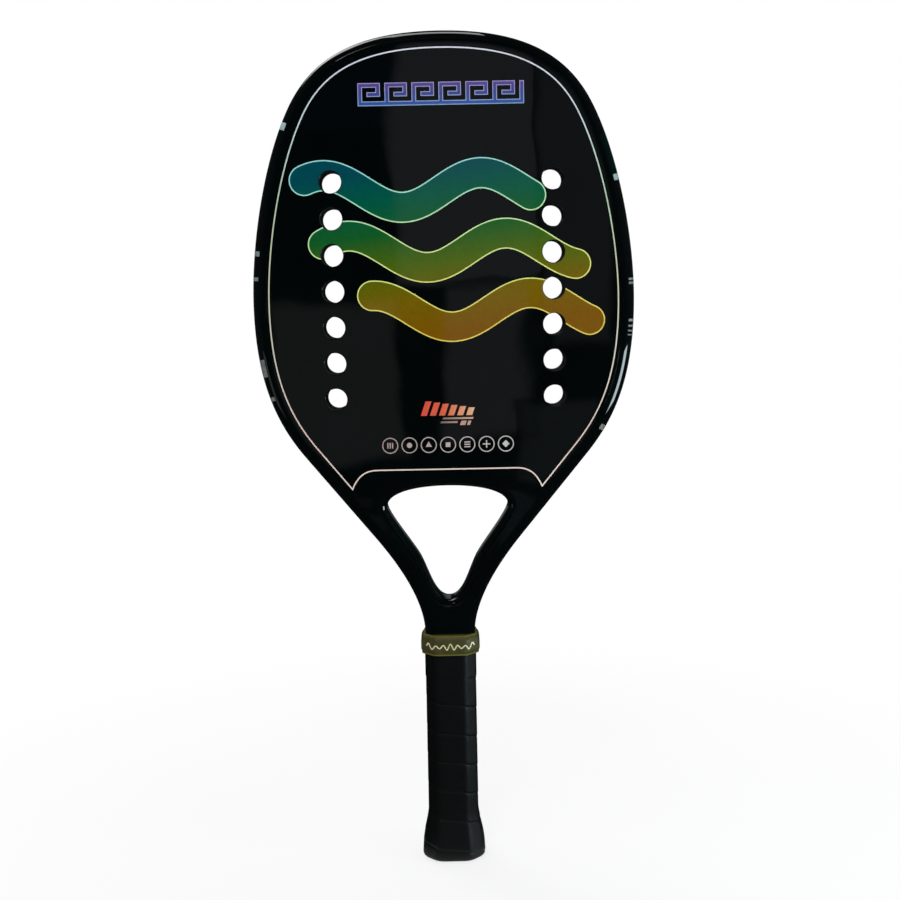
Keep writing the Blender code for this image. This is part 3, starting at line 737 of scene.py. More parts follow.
# Each thin grey bar: (left, foot, width, height)
GREY_BARS = (
    (-0.0020, 0.2742, 0.0180, 0.0011), (-0.0034, 0.2719, 0.0100, 0.0011),
    (0.0082, 0.2706, 0.0032, 0.0026), (0.0124, 0.2706, 0.0018, 0.0026),
)
CORAL_COLOR_SPAN = (-0.016, 0.018)
CORAL_COLORS = ((0.0, (240, 84, 74)), (0.45, (240, 110, 78)), (1.0, (244, 196, 150)))
GREY_COLOR_SPAN = (-0.004, 0.016)
GREY_COLORS = ((0.0, (120, 112, 106)), (1.0, (226, 180, 160)))

RING_PITCH = 0.0115
RING_COUNT = 7
RING_MIDDLE = Vector((0.0009, 0.2590))
RING_RADIUS = 0.0048
RING_LINE = 0.0006
SIGN_LINE = 0.0007
SIGN_PITCH = 0.0014
UPRIGHT_LENGTH = 0.0034
RUNG_LENGTH = 0.0036
CROSS_LENGTH = 0.0045
SQUARE_SIDE = 0.0028
DOT_RADIUS = 0.0016
POINTED_RADIUS = 0.0022
RING_COLOR_SPAN = (-0.036, 0.036)
RING_COLORS = ((0.0, (196, 168, 166)), (0.5, (206, 188, 184)), (1.0, (214, 208, 204)))


def slanted(left, foot, width, height):
    """Closed plan of a bar that leans to the right, clockwise"""
    lean = height * BAR_SLANT
    return [Vector((left, foot)), Vector((left + lean, foot + height)),
            Vector((left + lean + width, foot + height)), Vector((left + width, foot))]


def box(middle, width, height):
    corners = ((-1, -1), (-1, 1), (1, 1), (1, -1))
    return [middle + Vector((right * width / 2, up * height / 2)) for right, up in corners]


def ring_signs(middles):
    """Plain signs, one for each ring"""
    steps = (-SIGN_PITCH, 0, SIGN_PITCH)
    uprights = [box(middles[0] + RIGHT * step, SIGN_LINE, UPRIGHT_LENGTH) for step in steps]
    dot = circle(middles[1], DOT_RADIUS, sides=24)
    triangle = circle(middles[2], POINTED_RADIUS, sides=3, start=pi / 2)
    square = box(middles[3], SQUARE_SIDE, SQUARE_SIDE)
    rungs = [box(middles[4] + UP * step, RUNG_LENGTH, SIGN_LINE) for step in steps]
    cross = [box(middles[5], SIGN_LINE, CROSS_LENGTH), box(middles[5], CROSS_LENGTH, SIGN_LINE)]
    diamond = circle(middles[6], POINTED_RADIUS, sides=4, start=pi / 2)
    return [*uprights, dot, triangle, square, *rungs, *cross, diamond]


coral_bars = [slanted(BAR_LEFT + BAR_PITCH * index, BAR_FOOT, BAR_WIDTH, BAR_HEIGHT - BAR_DROP * index)
              for index in range(BAR_COUNT)]
printed("coral_bars", coral_bars, [], film("coral_film", CORAL_COLORS, RIGHT, *CORAL_COLOR_SPAN))
printed("grey_bars", [slanted(*sizes) for sizes in GREY_BARS], [],
        film("grey_film", GREY_COLORS, RIGHT, *GREY_COLOR_SPAN))
ring_middles = [RING_MIDDLE + RIGHT * RING_PITCH * (index - (RING_COUNT - 1) / 2)
                for index in range(RING_COUNT)]
ring_film = film("ring_film", RING_COLORS, RIGHT, *RING_COLOR_SPAN)
printed("rings", [circle(middle, RING_RADIUS) for middle in ring_middles],
        [circle(middle, RING_RADIUS - RING_LINE) for middle in ring_middles], ring_film)
printed("ring_signs", ring_signs(ring_middles), [], ring_film)


# Side bars: short bars of pale film, cut plain, wrapped over the side of the hoop and lacquered over
# with it. They differ from the left side to the right. Their colour carries painted shade: greyer towards
# the foot and paler towards the top, as light from above falls on the side.

BAR_FROM_FRONT = radians(26)
SIDE_STEPS = 6
BAR_ROWS = 4
# Each bar: (foot, height)
LEFT_BARS = ((0.4455, 0.0042), (0.3725, 0.0030), (0.3580, 0.0022), (0.3005, 0.0105), (0.2860, 0.0024))
RIGHT_BARS = (
    (0.4130, 0.0036), (0.3545, 0.0013), (0.3522, 0.0013), (0.3300, 0.0015), (0.3268, 0.0012),
    (0.3240, 0.0010), (0.3216, 0.0008), (0.2650, 0.0030),
)
# Painted shade: the bars' colour runs from grey at the foot to pale at the top, as light from above falls on
# the side
SIDE_BAR_SHADING_SPAN = (0.26, 0.45)
SIDE_BAR_SHADED_COLORS = ((0.0, (120, 116, 112)), (0.5, (120, 128, 128)), (1.0, (176, 206, 206)))


def side_section(proud):
    """The hoop's section from one rounding over the side to the other, as (distance in, y) points"""
    points = []
    for step in range(SIDE_STEPS + 1):
        turn = BAR_FROM_FRONT + (pi / 2 - BAR_FROM_FRONT) * step / SIDE_STEPS
        points.append((OUTER_ROUND_DEPTH - (OUTER_ROUND_DEPTH + proud) * sin(turn),
                       OUTER_ROUND_RISE - (OUTER_ROUND_RISE + proud) * cos(turn) - HALF_THICKNESS))
    return whole_section(points)


def level_with(chain, height):
    """The point of an inset chain that lies square inside the outline's point at a height"""
    for index, (before, after) in enumerate(zip(outline, outline[1:])):
        if after.y <= height:
            return chain[index].lerp(chain[index + 1], (before.y - height) / (before.y - after.y))


def wrapped_bar(mesh, side, foot, height):
    rows = []
    for step in range(BAR_ROWS + 1):
        z = foot + height * step / BAR_ROWS
        places = [(level_with(chain, z), y) for chain, y in side_chains]
        rows.append([Vector((side * point.x, y, point.y)) for point, y in places])
    grid = skin(mesh, rows, closed=True)
    for end in (grid[0], grid[-1]):
        for index in range(len(end) // 2 - 1):
            mesh.faces.new((end[index], end[index + 1], end[-2 - index], end[-1 - index]))


around = side_section(FILM_PROUD) + side_section(-FILM_SUNK)[::-1]
side_chains = [(inset(outline, inwards), y) for inwards, y in around]
side_mesh = bmesh.new()
for side, bars in ((-1, LEFT_BARS), (1, RIGHT_BARS)):
    for foot, height in bars:
        wrapped_bar(side_mesh, side, foot, height)
dressed("side_bars", side_mesh,
        film("side_bar_film", SIDE_BAR_SHADED_COLORS, UP, *SIDE_BAR_SHADING_SPAN, shine=0.2, flecks=0.3), "frame")


# Handle: two moulded halves of hard foam glued round the legs, and two wire staples that hold the
# skirt of the butt cap to them. All of it lies under the grip.

def drawn_wire():
    """Steel wire with fine lines along it from the drawing die"""
    material, shader, place = finish("staple_wire", 0.3, Metallic=1.0)
    lines = mottled(noise(place, scale=2200, detail=2), (0.42, 0.42, 0.42), gain=0.62 / 0.42)
    connect(shader, Base_Color=lines)
    return material


wire = drawn_wire()
hidden_finishes = {
    "handle_half_front": cell_foam("handle_half_front_foam", (0.04, 0.04, 0.04)),
    "handle_half_rear": cell_foam("handle_half_rear_foam", (0.04, 0.04, 0.04)),
    "cap_staple_left": wire,
    "cap_staple_right": wire,
}
for name, material in hidden_finishes.items():
    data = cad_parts[name].data
    data.materials.clear()
    data.materials.append(material)


# Butt cap: an injection-moulded cup of black plastic over the end of the handle. It flares out so that
# the hand doesn't slip off, and its foot is flat with a rounded edge and a shallow eight-sided recess.

HANDLE_HALF_WIDTH = 0.0136
HANDLE_HALF_DEPTH = 0.01195
HANDLE_BEVEL = 0.0055
CAP_WALL = 0.0015
CAP_FLOOR = 0.003
CAP_FLARE = 0.0039
FLARE_END = 0.004
BUTT_ROUND = 0.0040
BUTT_ROUND_STEPS = 8
CAP_ROWS = 24
RECESS_INSET = 0.0045
RECESS_SLOPE = 0.0003
RECESS_HOLD = 0.0005
RECESS_DEPTH = 0.0006
RECESS_CORNER = 0.0015
OCTAGON_BEVEL_GROWTH = 2 - sqrt(2)
CAP_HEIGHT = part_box("butt_cap")[1].z
CORNER_RADIUS = 0.0027
CORNER_STEPS = 4
FLAT_STEPS = 3


def octagon(half_width, half_depth, bevel, radius):
    """Eight-sided plan in (x, y) with rounded corners, anticlockwise seen from the crown"""
    pair = [Vector((half_width, half_depth - bevel)), Vector((half_width - bevel, half_depth))]
    half = pair + [Vector((-corner.x, corner.y)) for corner in reversed(pair)]
    corners = half + [-corner for corner in half]
    points = []
    for index, corner in enumerate(corners):
        before = (corners[index - 1] - corner).normalized()
        after = (corners[(index + 1) % 8] - corner).normalized()
        tangent = radius * tan(pi / 8)
        start = corner + before * tangent
        end = corner + after * tangent
        for step in range(CORNER_STEPS + 1):
            t = step / CORNER_STEPS
            points.append((1 - t) ** 2 * start + 2 * t * (1 - t) * corner + t * t * end)
        next_start = corners[(index + 1) % 8] - after * tangent
        points += [end.lerp(next_start, step / FLAT_STEPS) for step in range(1, FLAT_STEPS)]
    return points


def handle_octagon(growth, radius=CORNER_RADIUS):
    """The bare handle's plan, grown by a layer of that thickness"""
    return octagon(HANDLE_HALF_WIDTH + growth, HANDLE_HALF_DEPTH + growth,
                   HANDLE_BEVEL + growth * OCTAGON_BEVEL_GROWTH, radius)


def flare(height):
    """How far the butt cap stands out beyond the handle at a height, and draws in at its round foot"""
    share = (CAP_HEIGHT - height) / (CAP_HEIGHT - FLARE_END)
    share = min(max(share, 0), 1)
    below_round = max(BUTT_ROUND - height, 0)
    drawn_in = BUTT_ROUND - sqrt(BUTT_ROUND**2 - below_round**2)
    return CAP_FLARE * share * share * (3 - 2 * share) - drawn_in


def moulded_cap():
    mesh = bmesh.new()
    rows = []
    for inwards, height in ((RECESS_INSET + RECESS_HOLD, RECESS_DEPTH), (RECESS_INSET, RECESS_DEPTH),
                            (RECESS_INSET - RECESS_SLOPE, 0)):
        rows.append(level(handle_octagon(-inwards, RECESS_CORNER), height))
    heights = [BUTT_ROUND * (1 - cos(turn)) for turn in quarter(BUTT_ROUND_STEPS)[:-1]]
    heights += [BUTT_ROUND + (CAP_HEIGHT - BUTT_ROUND) * row / CAP_ROWS for row in range(CAP_ROWS + 1)]
    rows += [level(handle_octagon(flare(height)), height) for height in heights]
    rows.append(level(handle_octagon(-CAP_WALL), CAP_HEIGHT))
    rows.append(level(handle_octagon(-CAP_WALL), CAP_FLOOR))
    solid_skin(mesh, rows)
    return mesh


def moulded_plastic(name, color, roughness):
    """Moulded plastic with the fine even spark texture of its tool"""
    material, shader, place = finish(name, roughness)
    spark = bump(noise(place, scale=2600, detail=3), depth=3e-5)
    cloudy = mottled(noise(place, scale=90, detail=3), color, gain=1.3)
    connect(shader, Base_Color=cloudy, Normal=spark)
    return material


dressed("moulded_butt_cap", moulded_cap(), moulded_plastic("cap_plastic", (0.010, 0.010, 0.010), 0.45),
        "cap", "butt_cap")


# Grip: a cushioned strip of black polyurethane with skived edges, wound edge to edge from the butt to
# the top of the handle. It is soft, so it rounds off the corners of the handle.

GRIP_SEAT = 0.0003
GRIP_THICKNESS = 0.0015
GRIP_PITCH = 0.0183
GRIP_START = 0.0008
GRIP_START_WIDTH = 0.002
SKIVED_EDGE = 0.0016
SKIVED_DEPTH = 0.00028
GRIP_LAP = 0.00012
GRIP_CORNER = 0.0048
FOOT_CORNER_GROWTH = 0.0050
FOOT_CORNER_TOP = 0.014
GRIP_ROWS = 12
SKIVED_PARTS = (0, 0.3, 0.6, 1)
WIDEST_SKIVED_SHARE = 0.4
GRIP_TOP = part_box("grip_wrap")[1].z
STATIONS_PER_TURN = len(handle_octagon(0))


def grip_outside(share, width):
    """Height of the strip's surface across its width: skived edges and a slight cushion between"""
    drops = [SKIVED_DEPTH * max(1 - distance / SKIVED_EDGE, 0) ** 2
             for distance in (share * width, (1 - share) * width)]
    return GRIP_SEAT + GRIP_THICKNESS - sum(drops) + GRIP_LAP * (0.5 - share)


def grip_corner(height):
    """Radius of the grip's corners, which get rounder towards the butt"""
    share = max(1 - height / FOOT_CORNER_TOP, 0)
    return GRIP_CORNER + FOOT_CORNER_GROWTH * share * share


def strip_shares(width):
    """Where across the strip its section is drawn, as shares of the width"""
    edge = min(SKIVED_EDGE / width, WIDEST_SKIVED_SHARE)
    skived = [edge * part for part in SKIVED_PARTS]
    middle = [edge + (1 - 2 * edge) * (row / GRIP_ROWS) ** 2 for row in range(1, GRIP_ROWS)]
    return skived + middle + [1 - share for share in reversed(skived)]


def wound_grip():
    """The strip goes round the handle clockwise, seen from the crown, as it rises"""
    mesh = bmesh.new()
    rings = []
    station = 0
    while True:
        upper = GRIP_START + GRIP_START_WIDTH + GRIP_PITCH * station / STATIONS_PER_TURN
        low = max(upper - GRIP_PITCH, GRIP_START)
        high = min(upper, GRIP_TOP)
        if high - low < GRIP_START_WIDTH:
            break
        width = high - low
        section = []
        for share in strip_shares(width):
            height = low + width * share
            section.append((height, grip_outside(share, width), grip_corner(height)))
        section += [(height, GRIP_SEAT, CORNER_RADIUS) for height in (high, low)]
        ring = []
        for height, growth, radius in section:
            point = handle_octagon(growth + flare(height), radius)[-station % STATIONS_PER_TURN]
            ring.append(Vector((point.x, point.y, height)))
        rings.append(ring)
        station += 1
    solid_skin(mesh, rings)
    return mesh


def soft_polyurethane(name, color):
    """Tacky cushion grip: dull, with a fine leather grain and slightly shinier worn patches"""
    material, shader, place = finish(name, 0.53, Specular_IOR_Level=0.20)
    grain = add(place, "TexVoronoi", {"Vector": place, "Scale": 1500}, feature='SMOOTH_F1')
    cloud = noise(place, scale=60, detail=4)
    connect(shader, Base_Color=mottled(cloud, color, gain=1.35, high=0.72),
            Roughness=spread(cloud, 0.59, 0.46),
            Normal=bump(grain.outputs["Distance"], depth=6e-5, Strength=0.7))
    return material


dressed("wound_grip", wound_grip(), soft_polyurethane("grip_cushion", (0.0018, 0.0023, 0.0025)), "grip",
        "grip_wrap")


# Finishing tape: thin black vinyl tape, wound once round the top of the grip to hold its end. It is
# stretched as it goes on, so it follows the corners closely.

tape_low, tape_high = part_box("finishing_tape")
TAPE_BACK = GRIP_SEAT + GRIP_THICKNESS
TAPE_THICKNESS = 0.00025
TAPE_GROWTH = TAPE_BACK + TAPE_THICKNESS
TAPE_ROUND = 0.0001


def tape_ring():
    mesh = bmesh.new()
    round_growth = TAPE_GROWTH - TAPE_ROUND
    profile = [
        (TAPE_BACK, tape_low.z), (round_growth, tape_low.z), (TAPE_GROWTH, tape_low.z + TAPE_ROUND),
        (TAPE_GROWTH, tape_high.z - TAPE_ROUND), (round_growth, tape_high.z), (TAPE_BACK, tape_high.z),
    ]
    rows = [level(handle_octagon(growth, GRIP_CORNER), height) for growth, height in profile]
    skin(mesh, rows + rows[:1], closed=True)
    return mesh


def vinyl(name, color):
    """Vinyl tape: satin, with long faint creases where it was stretched"""
    material, shader, place = finish(name, 0.5, Specular_IOR_Level=0.21)
    drawn = add(place, "Mapping", {"Vector": place, "Scale": (1, 1, 9)}).outputs["Vector"]
    crease = noise(drawn, scale=110, detail=4)
    connect(shader, Base_Color=mottled(crease, color, gain=1.3), Normal=bump(crease, depth=6e-5))
    return material


dressed("wound_tape", tape_ring(), vinyl("tape_vinyl", (0.0018, 0.0023, 0.0026)), "tape", "finishing_tape")


# Collar: a moulded sleeve of olive rubber, rolled down over the tape and the neck. It has a bead round
# each end and swells a little between them, and its top closes on the neck. A wavy line is printed
# across its front.

collar_low, collar_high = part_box("grip_collar")
COLLAR_FOOT_LIFT = 0.0022
COLLAR_TOP_DROP = 0.0013
COLLAR_FOOT = collar_low.z + COLLAR_FOOT_LIFT
COLLAR_TOP = collar_high.z - COLLAR_TOP_DROP
COLLAR_WAIST = 0.0034
COLLAR_SWELL = 0.0009
COLLAR_CORNER = 0.0045
COLLAR_SEAT_ROOM = 0.0002
COLLAR_SWELL_SHARE = 0.35
CLOSING_FOOT = 0.1378
TOP_STEP = 0.0006
TOP_HALF_DEPTH = 0.01480
TOP_BEVEL = 0.0066
NECK_ROOM = 0.0001
NECK_BEVEL = 0.004
NECK_CORNER = 0.003
NECK_HOLD = 0.0045
SEAT_DROP = 0.0115
LIP_BEAD = 0.00042
LIP_HOLLOW = 0.0003
BEAD_STEPS = 6
BARREL_ROWS = 14
CLOSING_ROWS = 8


def round_neck(room):
    """Plan of the neck with its edges rounded, grown by some room"""
    return octagon(NECK.x + room, HALF_THICKNESS + room, NECK_BEVEL, NECK_CORNER)


def collar_top_plan(growth):
    """Plan of the collar's upper end, narrower than its barrel but nearly as deep"""
    return octagon(NECK.x + TOP_STEP + growth, TOP_HALF_DEPTH + growth,
                   TOP_BEVEL + growth * OCTAGON_BEVEL_GROWTH, COLLAR_CORNER)


def barrel_growth(height):
    """How far the collar's barrel stands out beyond the bare handle at a height"""
    foot = COLLAR_FOOT + 2 * LIP_BEAD
    share = (height - foot) / (CLOSING_FOOT - foot) / COLLAR_SWELL_SHARE
    return COLLAR_WAIST + COLLAR_SWELL * sin(pi / 2 * min(max(share, 0), 1))


def barrel_plan(height):
    return handle_octagon(barrel_growth(height), COLLAR_CORNER)


def bead(plan, height):
    """Rows up a half-round bead; plan gives the outline for a growth"""
    rows = []
    for step in range(BEAD_STEPS + 1):
        turn = pi * step / BEAD_STEPS
        rows.append(level(plan(LIP_BEAD * sin(turn)), height - LIP_BEAD * cos(turn)))
    return rows


def rubber_collar():
    mesh = bmesh.new()
    seat = handle_octagon(TAPE_GROWTH + COLLAR_SEAT_ROOM, COLLAR_CORNER)
    rows = [level(seat, COLLAR_FOOT + LIP_HOLLOW)]
    rows += bead(lambda growth: handle_octagon(COLLAR_WAIST + growth, COLLAR_CORNER), COLLAR_FOOT + LIP_BEAD)
    foot = COLLAR_FOOT + 2 * LIP_BEAD
    for row in range(1, BARREL_ROWS + 1):
        height = foot + (CLOSING_FOOT - foot) * row / BARREL_ROWS
        rows.append(level(barrel_plan(height), height))
    rise = COLLAR_TOP - 2 * LIP_BEAD - CLOSING_FOOT
    for turn in quarter(CLOSING_ROWS)[1:]:
        drawn_in = [start.lerp(end, 1 - cos(turn))
                    for start, end in zip(barrel_plan(CLOSING_FOOT), collar_top_plan(0))]
        rows.append(level(drawn_in, CLOSING_FOOT + rise * sin(turn)))
    rows += bead(collar_top_plan, COLLAR_TOP - LIP_BEAD)[1:]
    rows += [level(round_neck(NECK_ROOM), COLLAR_TOP - drop) for drop in (0, NECK_HOLD)]
    rows.append(level(seat, COLLAR_TOP - SEAT_DROP))
    skin(mesh, rows + rows[:1], closed=True)
    return mesh


def olive_rubber(name, color):
    """Soft satin rubber with a slight bloom and a few scuffs; its lips are painted paler, a painted
    highlight where they roll over
    """
    material, shader, place = finish(name, 0.5, Specular_IOR_Level=0.35)
    bloom = ramp(noise(place, scale=170, detail=5),
                 [(0.30, tinted(color, 0.75)), (0.55, color), (0.75, tinted(color, 1.35))])
    # Painted highlight: the colour is made paler over both lips, near the foot and the top of the collar
    painted_lip_highlight = ramp(share_along(place, UP, COLLAR_FOOT, COLLAR_TOP), [
        (0.05, (1, 1, 1)), (0.13, (0, 0, 0)), (0.87, (0, 0, 0)), (0.95, (1, 1, 1)),
    ])
    connect(shader, Base_Color=toned(painted_lip_highlight, bloom, (*tinted(color, 2.3), 1)),
            Normal=bump(noise(place, scale=1900, detail=2), depth=4e-5))
    return material


dressed("rubber_collar", rubber_collar(), olive_rubber("olive_rubber", (0.050, 0.045, 0.007)), "collar",
        "grip_collar", crease=50)

WAVY_LINE_HEIGHT = 0.1364
WAVY_LINE_SWING = 0.0019
WAVY_LINE_WIDTH = 0.0007
WAVY_LINE_REACH = 0.0145
WAVY_LINE_STEPS = 180
WAVY_LINE_WAVES = 6.5
WAVY_LINE_SWELLS = 2
WAVY_LINE_FADE = 0.3
WAVY_LINE_COLOR_SPAN = (-0.012, 0.012)
WAVY_LINE_COLORS = ((0.0, (206, 200, 164)), (0.5, (186, 184, 140)), (1.0, (212, 208, 172)))


def front_point(growth, x):
    """The point at x on the front of a plan round the handle"""
    plan = [point for point in handle_octagon(growth, COLLAR_CORNER) if point.y < 0]
    for left, right in zip(plan, plan[1:]):
        if left.x <= x <= right.x:
            return left.lerp(right, (x - left.x) / (right.x - left.x))


def wavy_line():
    mesh = bmesh.new()
    centre = []
    for step in range(WAVY_LINE_STEPS + 1):
        share = step / WAVY_LINE_STEPS
        fade = WAVY_LINE_FADE * (1 - cos(2 * pi * WAVY_LINE_SWELLS * share))
        swing = WAVY_LINE_SWING * (1 - fade) * sin(2 * pi * WAVY_LINE_WAVES * share)
        centre.append(Vector((WAVY_LINE_REACH * (2 * share - 1), WAVY_LINE_HEIGHT + swing)))
    band = ribbon(centre, WAVY_LINE_WIDTH / 2)
    other_side = band[len(centre) + ROUND_END_STEPS - 1:][:len(centre)]
    rings = []
    for before, after in zip(band[:len(centre)], reversed(other_side)):
        ring = []
        for point, proud in ((before, FILM_PROUD), (after, FILM_PROUD), (after, -FILM_SUNK),
                             (before, -FILM_SUNK)):
            place = front_point(barrel_growth(point.y) + proud, point.x)
            ring.append(Vector((place.x, place.y, point.y)))
        rings.append(ring)
    solid_skin(mesh, rings)
    return mesh


dressed("collar_wavy_line", wavy_line(),
        film("cream_ink", WAVY_LINE_COLORS, RIGHT, *WAVY_LINE_COLOR_SPAN, shine=0.0, flecks=0.12), "collar")


# Studio: a pale floor that runs out into white, a white surround, and lamps overhead, behind on the left,
# in front and low at both sides. Dark boards and cloths with paler panels on them stand round it; they glow
# faintly by their own light, as painted reflections, and only reflections see them. They keep the lacquer
# black.

CAMERA_PLACE = Vector((0.0020, -0.8, 0.3525))
CAMERA_PITCH = radians(-6.99)
CAMERA_ROLL = radians(-1.1)
FOCAL_PIXELS = 1332
PHOTO_PIXELS = 900

camera_data = bpy.data.cameras.new("camera")
camera_data.sensor_width = 36
camera_data.lens = camera_data.sensor_width * FOCAL_PIXELS / PHOTO_PIXELS
camera = placed("camera", camera_data)
camera.matrix_world = (Matrix.Translation(CAMERA_PLACE)
                       @ Matrix.Rotation(pi / 2 + CAMERA_PITCH, 4, 'X')
                       @ Matrix.Rotation(CAMERA_ROLL, 4, 'Z'))
bpy.context.scene.camera = camera
bpy.context.scene.view_settings.view_transform = 'Standard'

FILL_LIGHT = 0.55
FLOOR_SIZE = 8.0
FLOOR_TONE = (0.86, 0.86, 0.86, 1)
FLOOR_NEAR = 0.12
FLOOR_FAR = 0.55
FLOOR_GLOW = 0.78


def either(first, second):
    node = add(first, "Math", {0: first, 1: second}, operation='MAXIMUM')
    return node.outputs["Value"]


def seen_directly(tree):
    """1 for what the camera sees, straight on or in a reflection or through glass, 0 for light"""
    path = add(tree, "LightPath").outputs
    straight_or_mirrored = either(path["Is Camera Ray"], path["Is Glossy Ray"])
    return either(straight_or_mirrored, path["Is Transmission Ray"])


world = bpy.data.worlds.new("white_surround")
world.use_nodes = True
bpy.context.scene.world = world
tree = world.node_tree
background = tree.nodes["Background"]
tone = add(tree, "MapRange", {"Value": seen_directly(tree), "To Min": FILL_LIGHT, "To Max": 1.0})
background.inputs["Color"].default_value = (1, 1, 1, 1)
tree.links.new(tone.outputs["Result"], background.inputs["Strength"])


def stage_material(name):
    material = bpy.data.materials.new(name)
    material.use_nodes = True
    tree = material.node_tree
    tree.nodes.remove(tree.nodes["Principled BSDF"])
    return material, tree, tree.nodes["Material Output"]


def floor_material():
    """Pale matt floor that fades into the white surround away from the racket"""
    material, tree, output = stage_material("pale_floor")
    place = add(tree, "TexCoord").outputs["Object"]
    away = add(tree, "VectorMath", {0: place}, operation='LENGTH')
    far = add(tree, "MapRange", {"Value": away.outputs["Value"], "From Min": FLOOR_NEAR,
                                 "From Max": FLOOR_FAR, "To Min": FLOOR_GLOW},
              interpolation_type='SMOOTHSTEP')
    share = add(tree, "Math", {0: far.outputs["Result"], 1: seen_directly(tree)}, operation='MULTIPLY')
    matt = add(tree, "BsdfDiffuse", {"Color": FLOOR_TONE})
    glow = add(tree, "Emission", {"Strength": 1.0})
    mixed = add(tree, "MixShader", {0: share.outputs[0], 1: matt.outputs[0], 2: glow.outputs[0]})
    tree.links.new(mixed.outputs[0], output.inputs["Surface"])
    return material


def sheet_of(name, corners, material):
    """A flat four-cornered piece of the studio"""
    data = bpy.data.meshes.new(name)
    data.from_pydata([Vector(corner) for corner in corners], [], [(0, 1, 2, 3)])
    data.materials.append(material)
    piece = placed(name, data)
    return piece


def upright(left, right, low, high, y):
    return [(left, y, low), (right, y, low), (right, y, high), (left, y, high)]


def sideways(near, far, low, high, x):
    return [(x, near, low), (x, far, low), (x, far, high), (x, near, high)]


def lying(left, right, near, far, z):
    return [(left, near, z), (right, near, z), (right, far, z), (left, far, z)]


reach = FLOOR_SIZE / 2
sheet_of("floor", lying(-reach, reach, -reach, reach, 0), floor_material())


def glowing_board(name, corners, tone):
    """A board or cloth that glows faintly by its own light, a painted reflection that only reflections show
    """
    material, tree, output = stage_material(name + "_cloth")
    glow = add(tree, "Emission", {"Color": (*tone, 1), "Strength": 1.0})
    tree.links.new(glow.outputs[0], output.inputs["Surface"])
    piece = sheet_of(name, corners, material)
    piece.visible_camera = False
    piece.visible_diffuse = False
    piece.visible_shadow = False
    return piece


def glowing_panel(name, corners, tone):
    """A paler or tinted glowing panel on a dark board or cloth, a painted reflection patch that fades into
    it at its edges
    """
    piece = glowing_board(name, corners, tone)
    tree = piece.data.materials[0].node_tree
    parts = add(tree, "SeparateXYZ", {"Vector": add(tree, "TexCoord").outputs["Object"]})
    nearest = None
    for axis, values in zip("XYZ", zip(*corners)):
        if min(values) == max(values):
            continue
        for edge, way in ((min(values), 1), (max(values), -1)):
            away = add(tree, "Math", {0: parts.outputs[axis], 1: way, 2: -way * edge},
                       operation='MULTIPLY_ADD').outputs[0]
            if nearest:
                away = add(tree, "Math", {0: nearest, 1: away}, operation='MINIMUM').outputs[0]
            nearest = away
    share = add(tree, "MapRange", {"Value": nearest, "From Max": PANEL_FADE},
                interpolation_type='SMOOTHSTEP')
    faded = toned(share.outputs["Result"], (*BOARD_TONE, 1), (*tone, 1))
    tree.links.new(faded, tree.nodes["Emission"].inputs["Color"])


BOARD_TONE = (0.006, 0.012, 0.012)
SIDE_BOARD_TONE = (0.03, 0.035, 0.04)
CEILING_TONE = (0.02, 0.022, 0.024)
CLOTH_TONE = (0.012, 0.016, 0.017)
TEAL_TONE = (0.004, 0.09, 0.08)
BOARD_TOP = 1.8
BOARD_HALF_WIDTH = 1.6
BOARD_DISTANCE = 1.5
SIDE_BOARD_DISTANCE = 1.3
PANEL_FADE = 0.022
PANEL_DISTANCE = 1.495
TEAL_PANEL_DISTANCE = 1.28
TEAL_PANEL = (-1.0, 0.5, 0.76, 0.98)
CLOTH_HEIGHT = 0.002
PATCH_HEIGHT = 0.004
CLEAR_OF_BUTT = 0.03

# Each glowing panel, a painted reflection patch, on the boards before and behind the racket: (name, left,
# right, foot, top, tone)
PANELS = (
    ("upper", -0.082, 0.162, 0.36, 0.80, (0.20, 0.205, 0.22)),
    ("right", 0.162, 0.290, 0.25, 0.76, (0.12, 0.125, 0.13)),
    ("left", -0.300, -0.085, 0.06, 0.33, (0.15, 0.165, 0.155)),
    ("middle", -0.004, 0.140, 0.10, 0.36, (0.18, 0.185, 0.20)),
    ("low", 0.134, 0.243, 0.02, 0.16, (0.11, 0.12, 0.115)),
    ("blue", -0.236, -0.082, 0.62, 0.76, (0.014, 0.020, 0.032)),
)
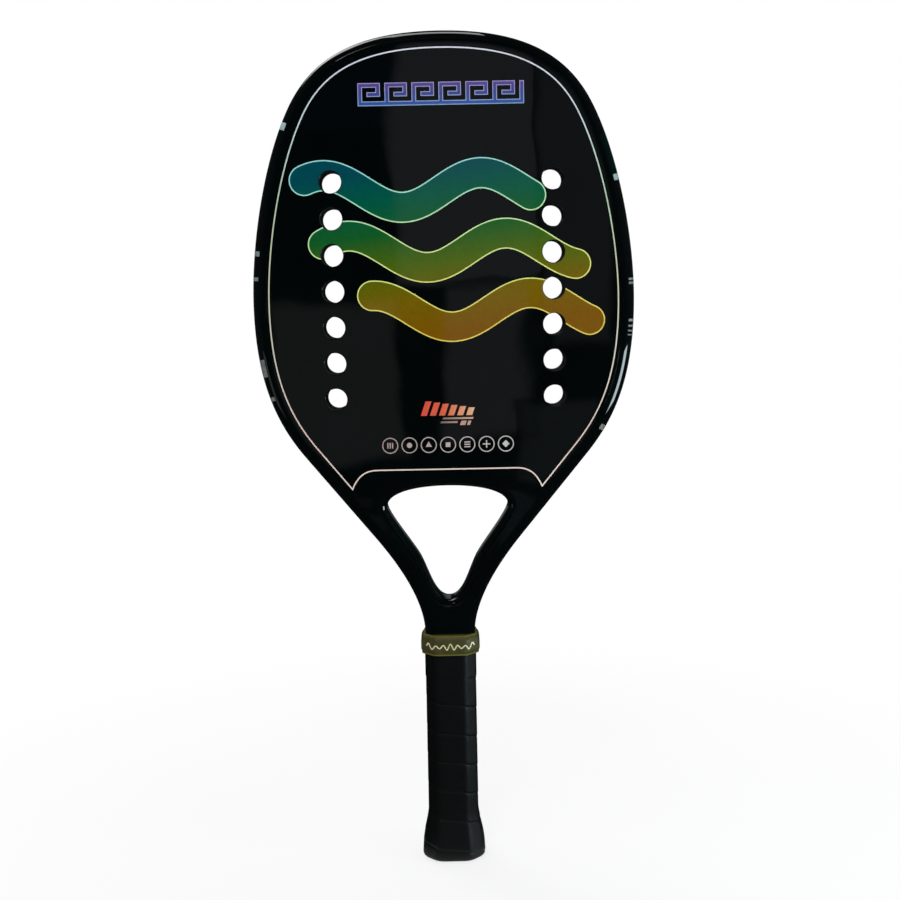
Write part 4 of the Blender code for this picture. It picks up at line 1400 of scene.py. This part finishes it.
# Each glowing patch on the cloths, a painted reflection: (name, left, right, nearest, farthest, tone)
PATCHES = (
    ("right", 0.055, 0.150, 0.84, 1.44, (0.075, 0.085, 0.10)),
    ("left", -0.150, -0.070, 0.98, 1.20, (0.05, 0.06, 0.06)),
    ("far_left", -0.200, -0.110, 1.28, 1.47, (0.04, 0.05, 0.055)),
)
fade = PANEL_FADE / 2
for end, way in (("front", -1), ("rear", 1)):
    glowing_board(end + "_dark_board",
          upright(-BOARD_HALF_WIDTH, BOARD_HALF_WIDTH, 0, BOARD_TOP, way * BOARD_DISTANCE), BOARD_TONE)
    for name, left, right, foot, top, tone in PANELS:
        glowing_panel(end + "_" + name + "_panel",
              upright(left - fade, right + fade, foot - fade, top + fade, way * PANEL_DISTANCE), tone)
    glowing_board(end + "_floor_cloth", lying(-BOARD_HALF_WIDTH, BOARD_HALF_WIDTH, way * CLEAR_OF_BUTT,
                                      way * BOARD_DISTANCE, CLOTH_HEIGHT), CLOTH_TONE)
    for name, left, right, near, far, tone in PATCHES:
        glowing_panel(end + "_" + name + "_patch", lying(left, right, way * near, way * far, PATCH_HEIGHT), tone)
for end, way in (("left", -1), ("right", 1)):
    x = way * SIDE_BOARD_DISTANCE
    glowing_board(end + "_dark_board", sideways(-BOARD_DISTANCE, BOARD_DISTANCE, 0, BOARD_TOP, x), SIDE_BOARD_TONE)
    glowing_board(end + "_floor_cloth", lying(way * CLEAR_OF_BUTT, x, -CLEAR_OF_BUTT, CLEAR_OF_BUTT, CLOTH_HEIGHT),
          CLOTH_TONE)
# Painted reflection: a glowing teal panel that tints the reflections in the hoop's right-hand edges
glowing_panel("right_teal_panel", sideways(*TEAL_PANEL, TEAL_PANEL_DISTANCE), TEAL_TONE)
glowing_board("dark_ceiling",
      lying(-BOARD_HALF_WIDTH, BOARD_HALF_WIDTH, -BOARD_DISTANCE, BOARD_DISTANCE, BOARD_TOP), CEILING_TONE)

# Each lamp: (name, place, aim, width, height, watts, colour)
LAMPS = (
    ("overhead", (-0.02, 0.20, 1.45), (0, 0, 0.45), 0.36, 0.40, 1.6, (1, 1, 1)),
    ("back_left", (-0.50, 0.72, 1.45), (0, 0, 0.45), 0.55, 0.80, 4.6, (1, 1, 1)),
    ("front", (-0.30, -1.60, 1.70), (0, 0, 0.25), 0.90, 0.60, 14, (1, 1, 1)),
    ("right_low", (0.66, -0.30, 0.07), (0, 0, 0.12), 0.36, 0.30, 4.0, (0.78, 0.94, 1)),
    ("left_low", (-0.66, -0.45, 0.10), (0, 0, 0.12), 0.30, 0.25, 0.12, (1, 1, 1)),
)
for name, place, aim, width, height, watts, color in LAMPS:
    data = bpy.data.lights.new(name, 'AREA')
    data.shape = 'RECTANGLE'
    data.size = width
    data.size_y = height
    data.energy = watts
    data.color = color
    piece = placed(name, data)
    piece.location = place
    piece.rotation_euler = (Vector(aim) - Vector(place)).to_track_quat('-Z', 'Y').to_euler()
    piece.visible_camera = False
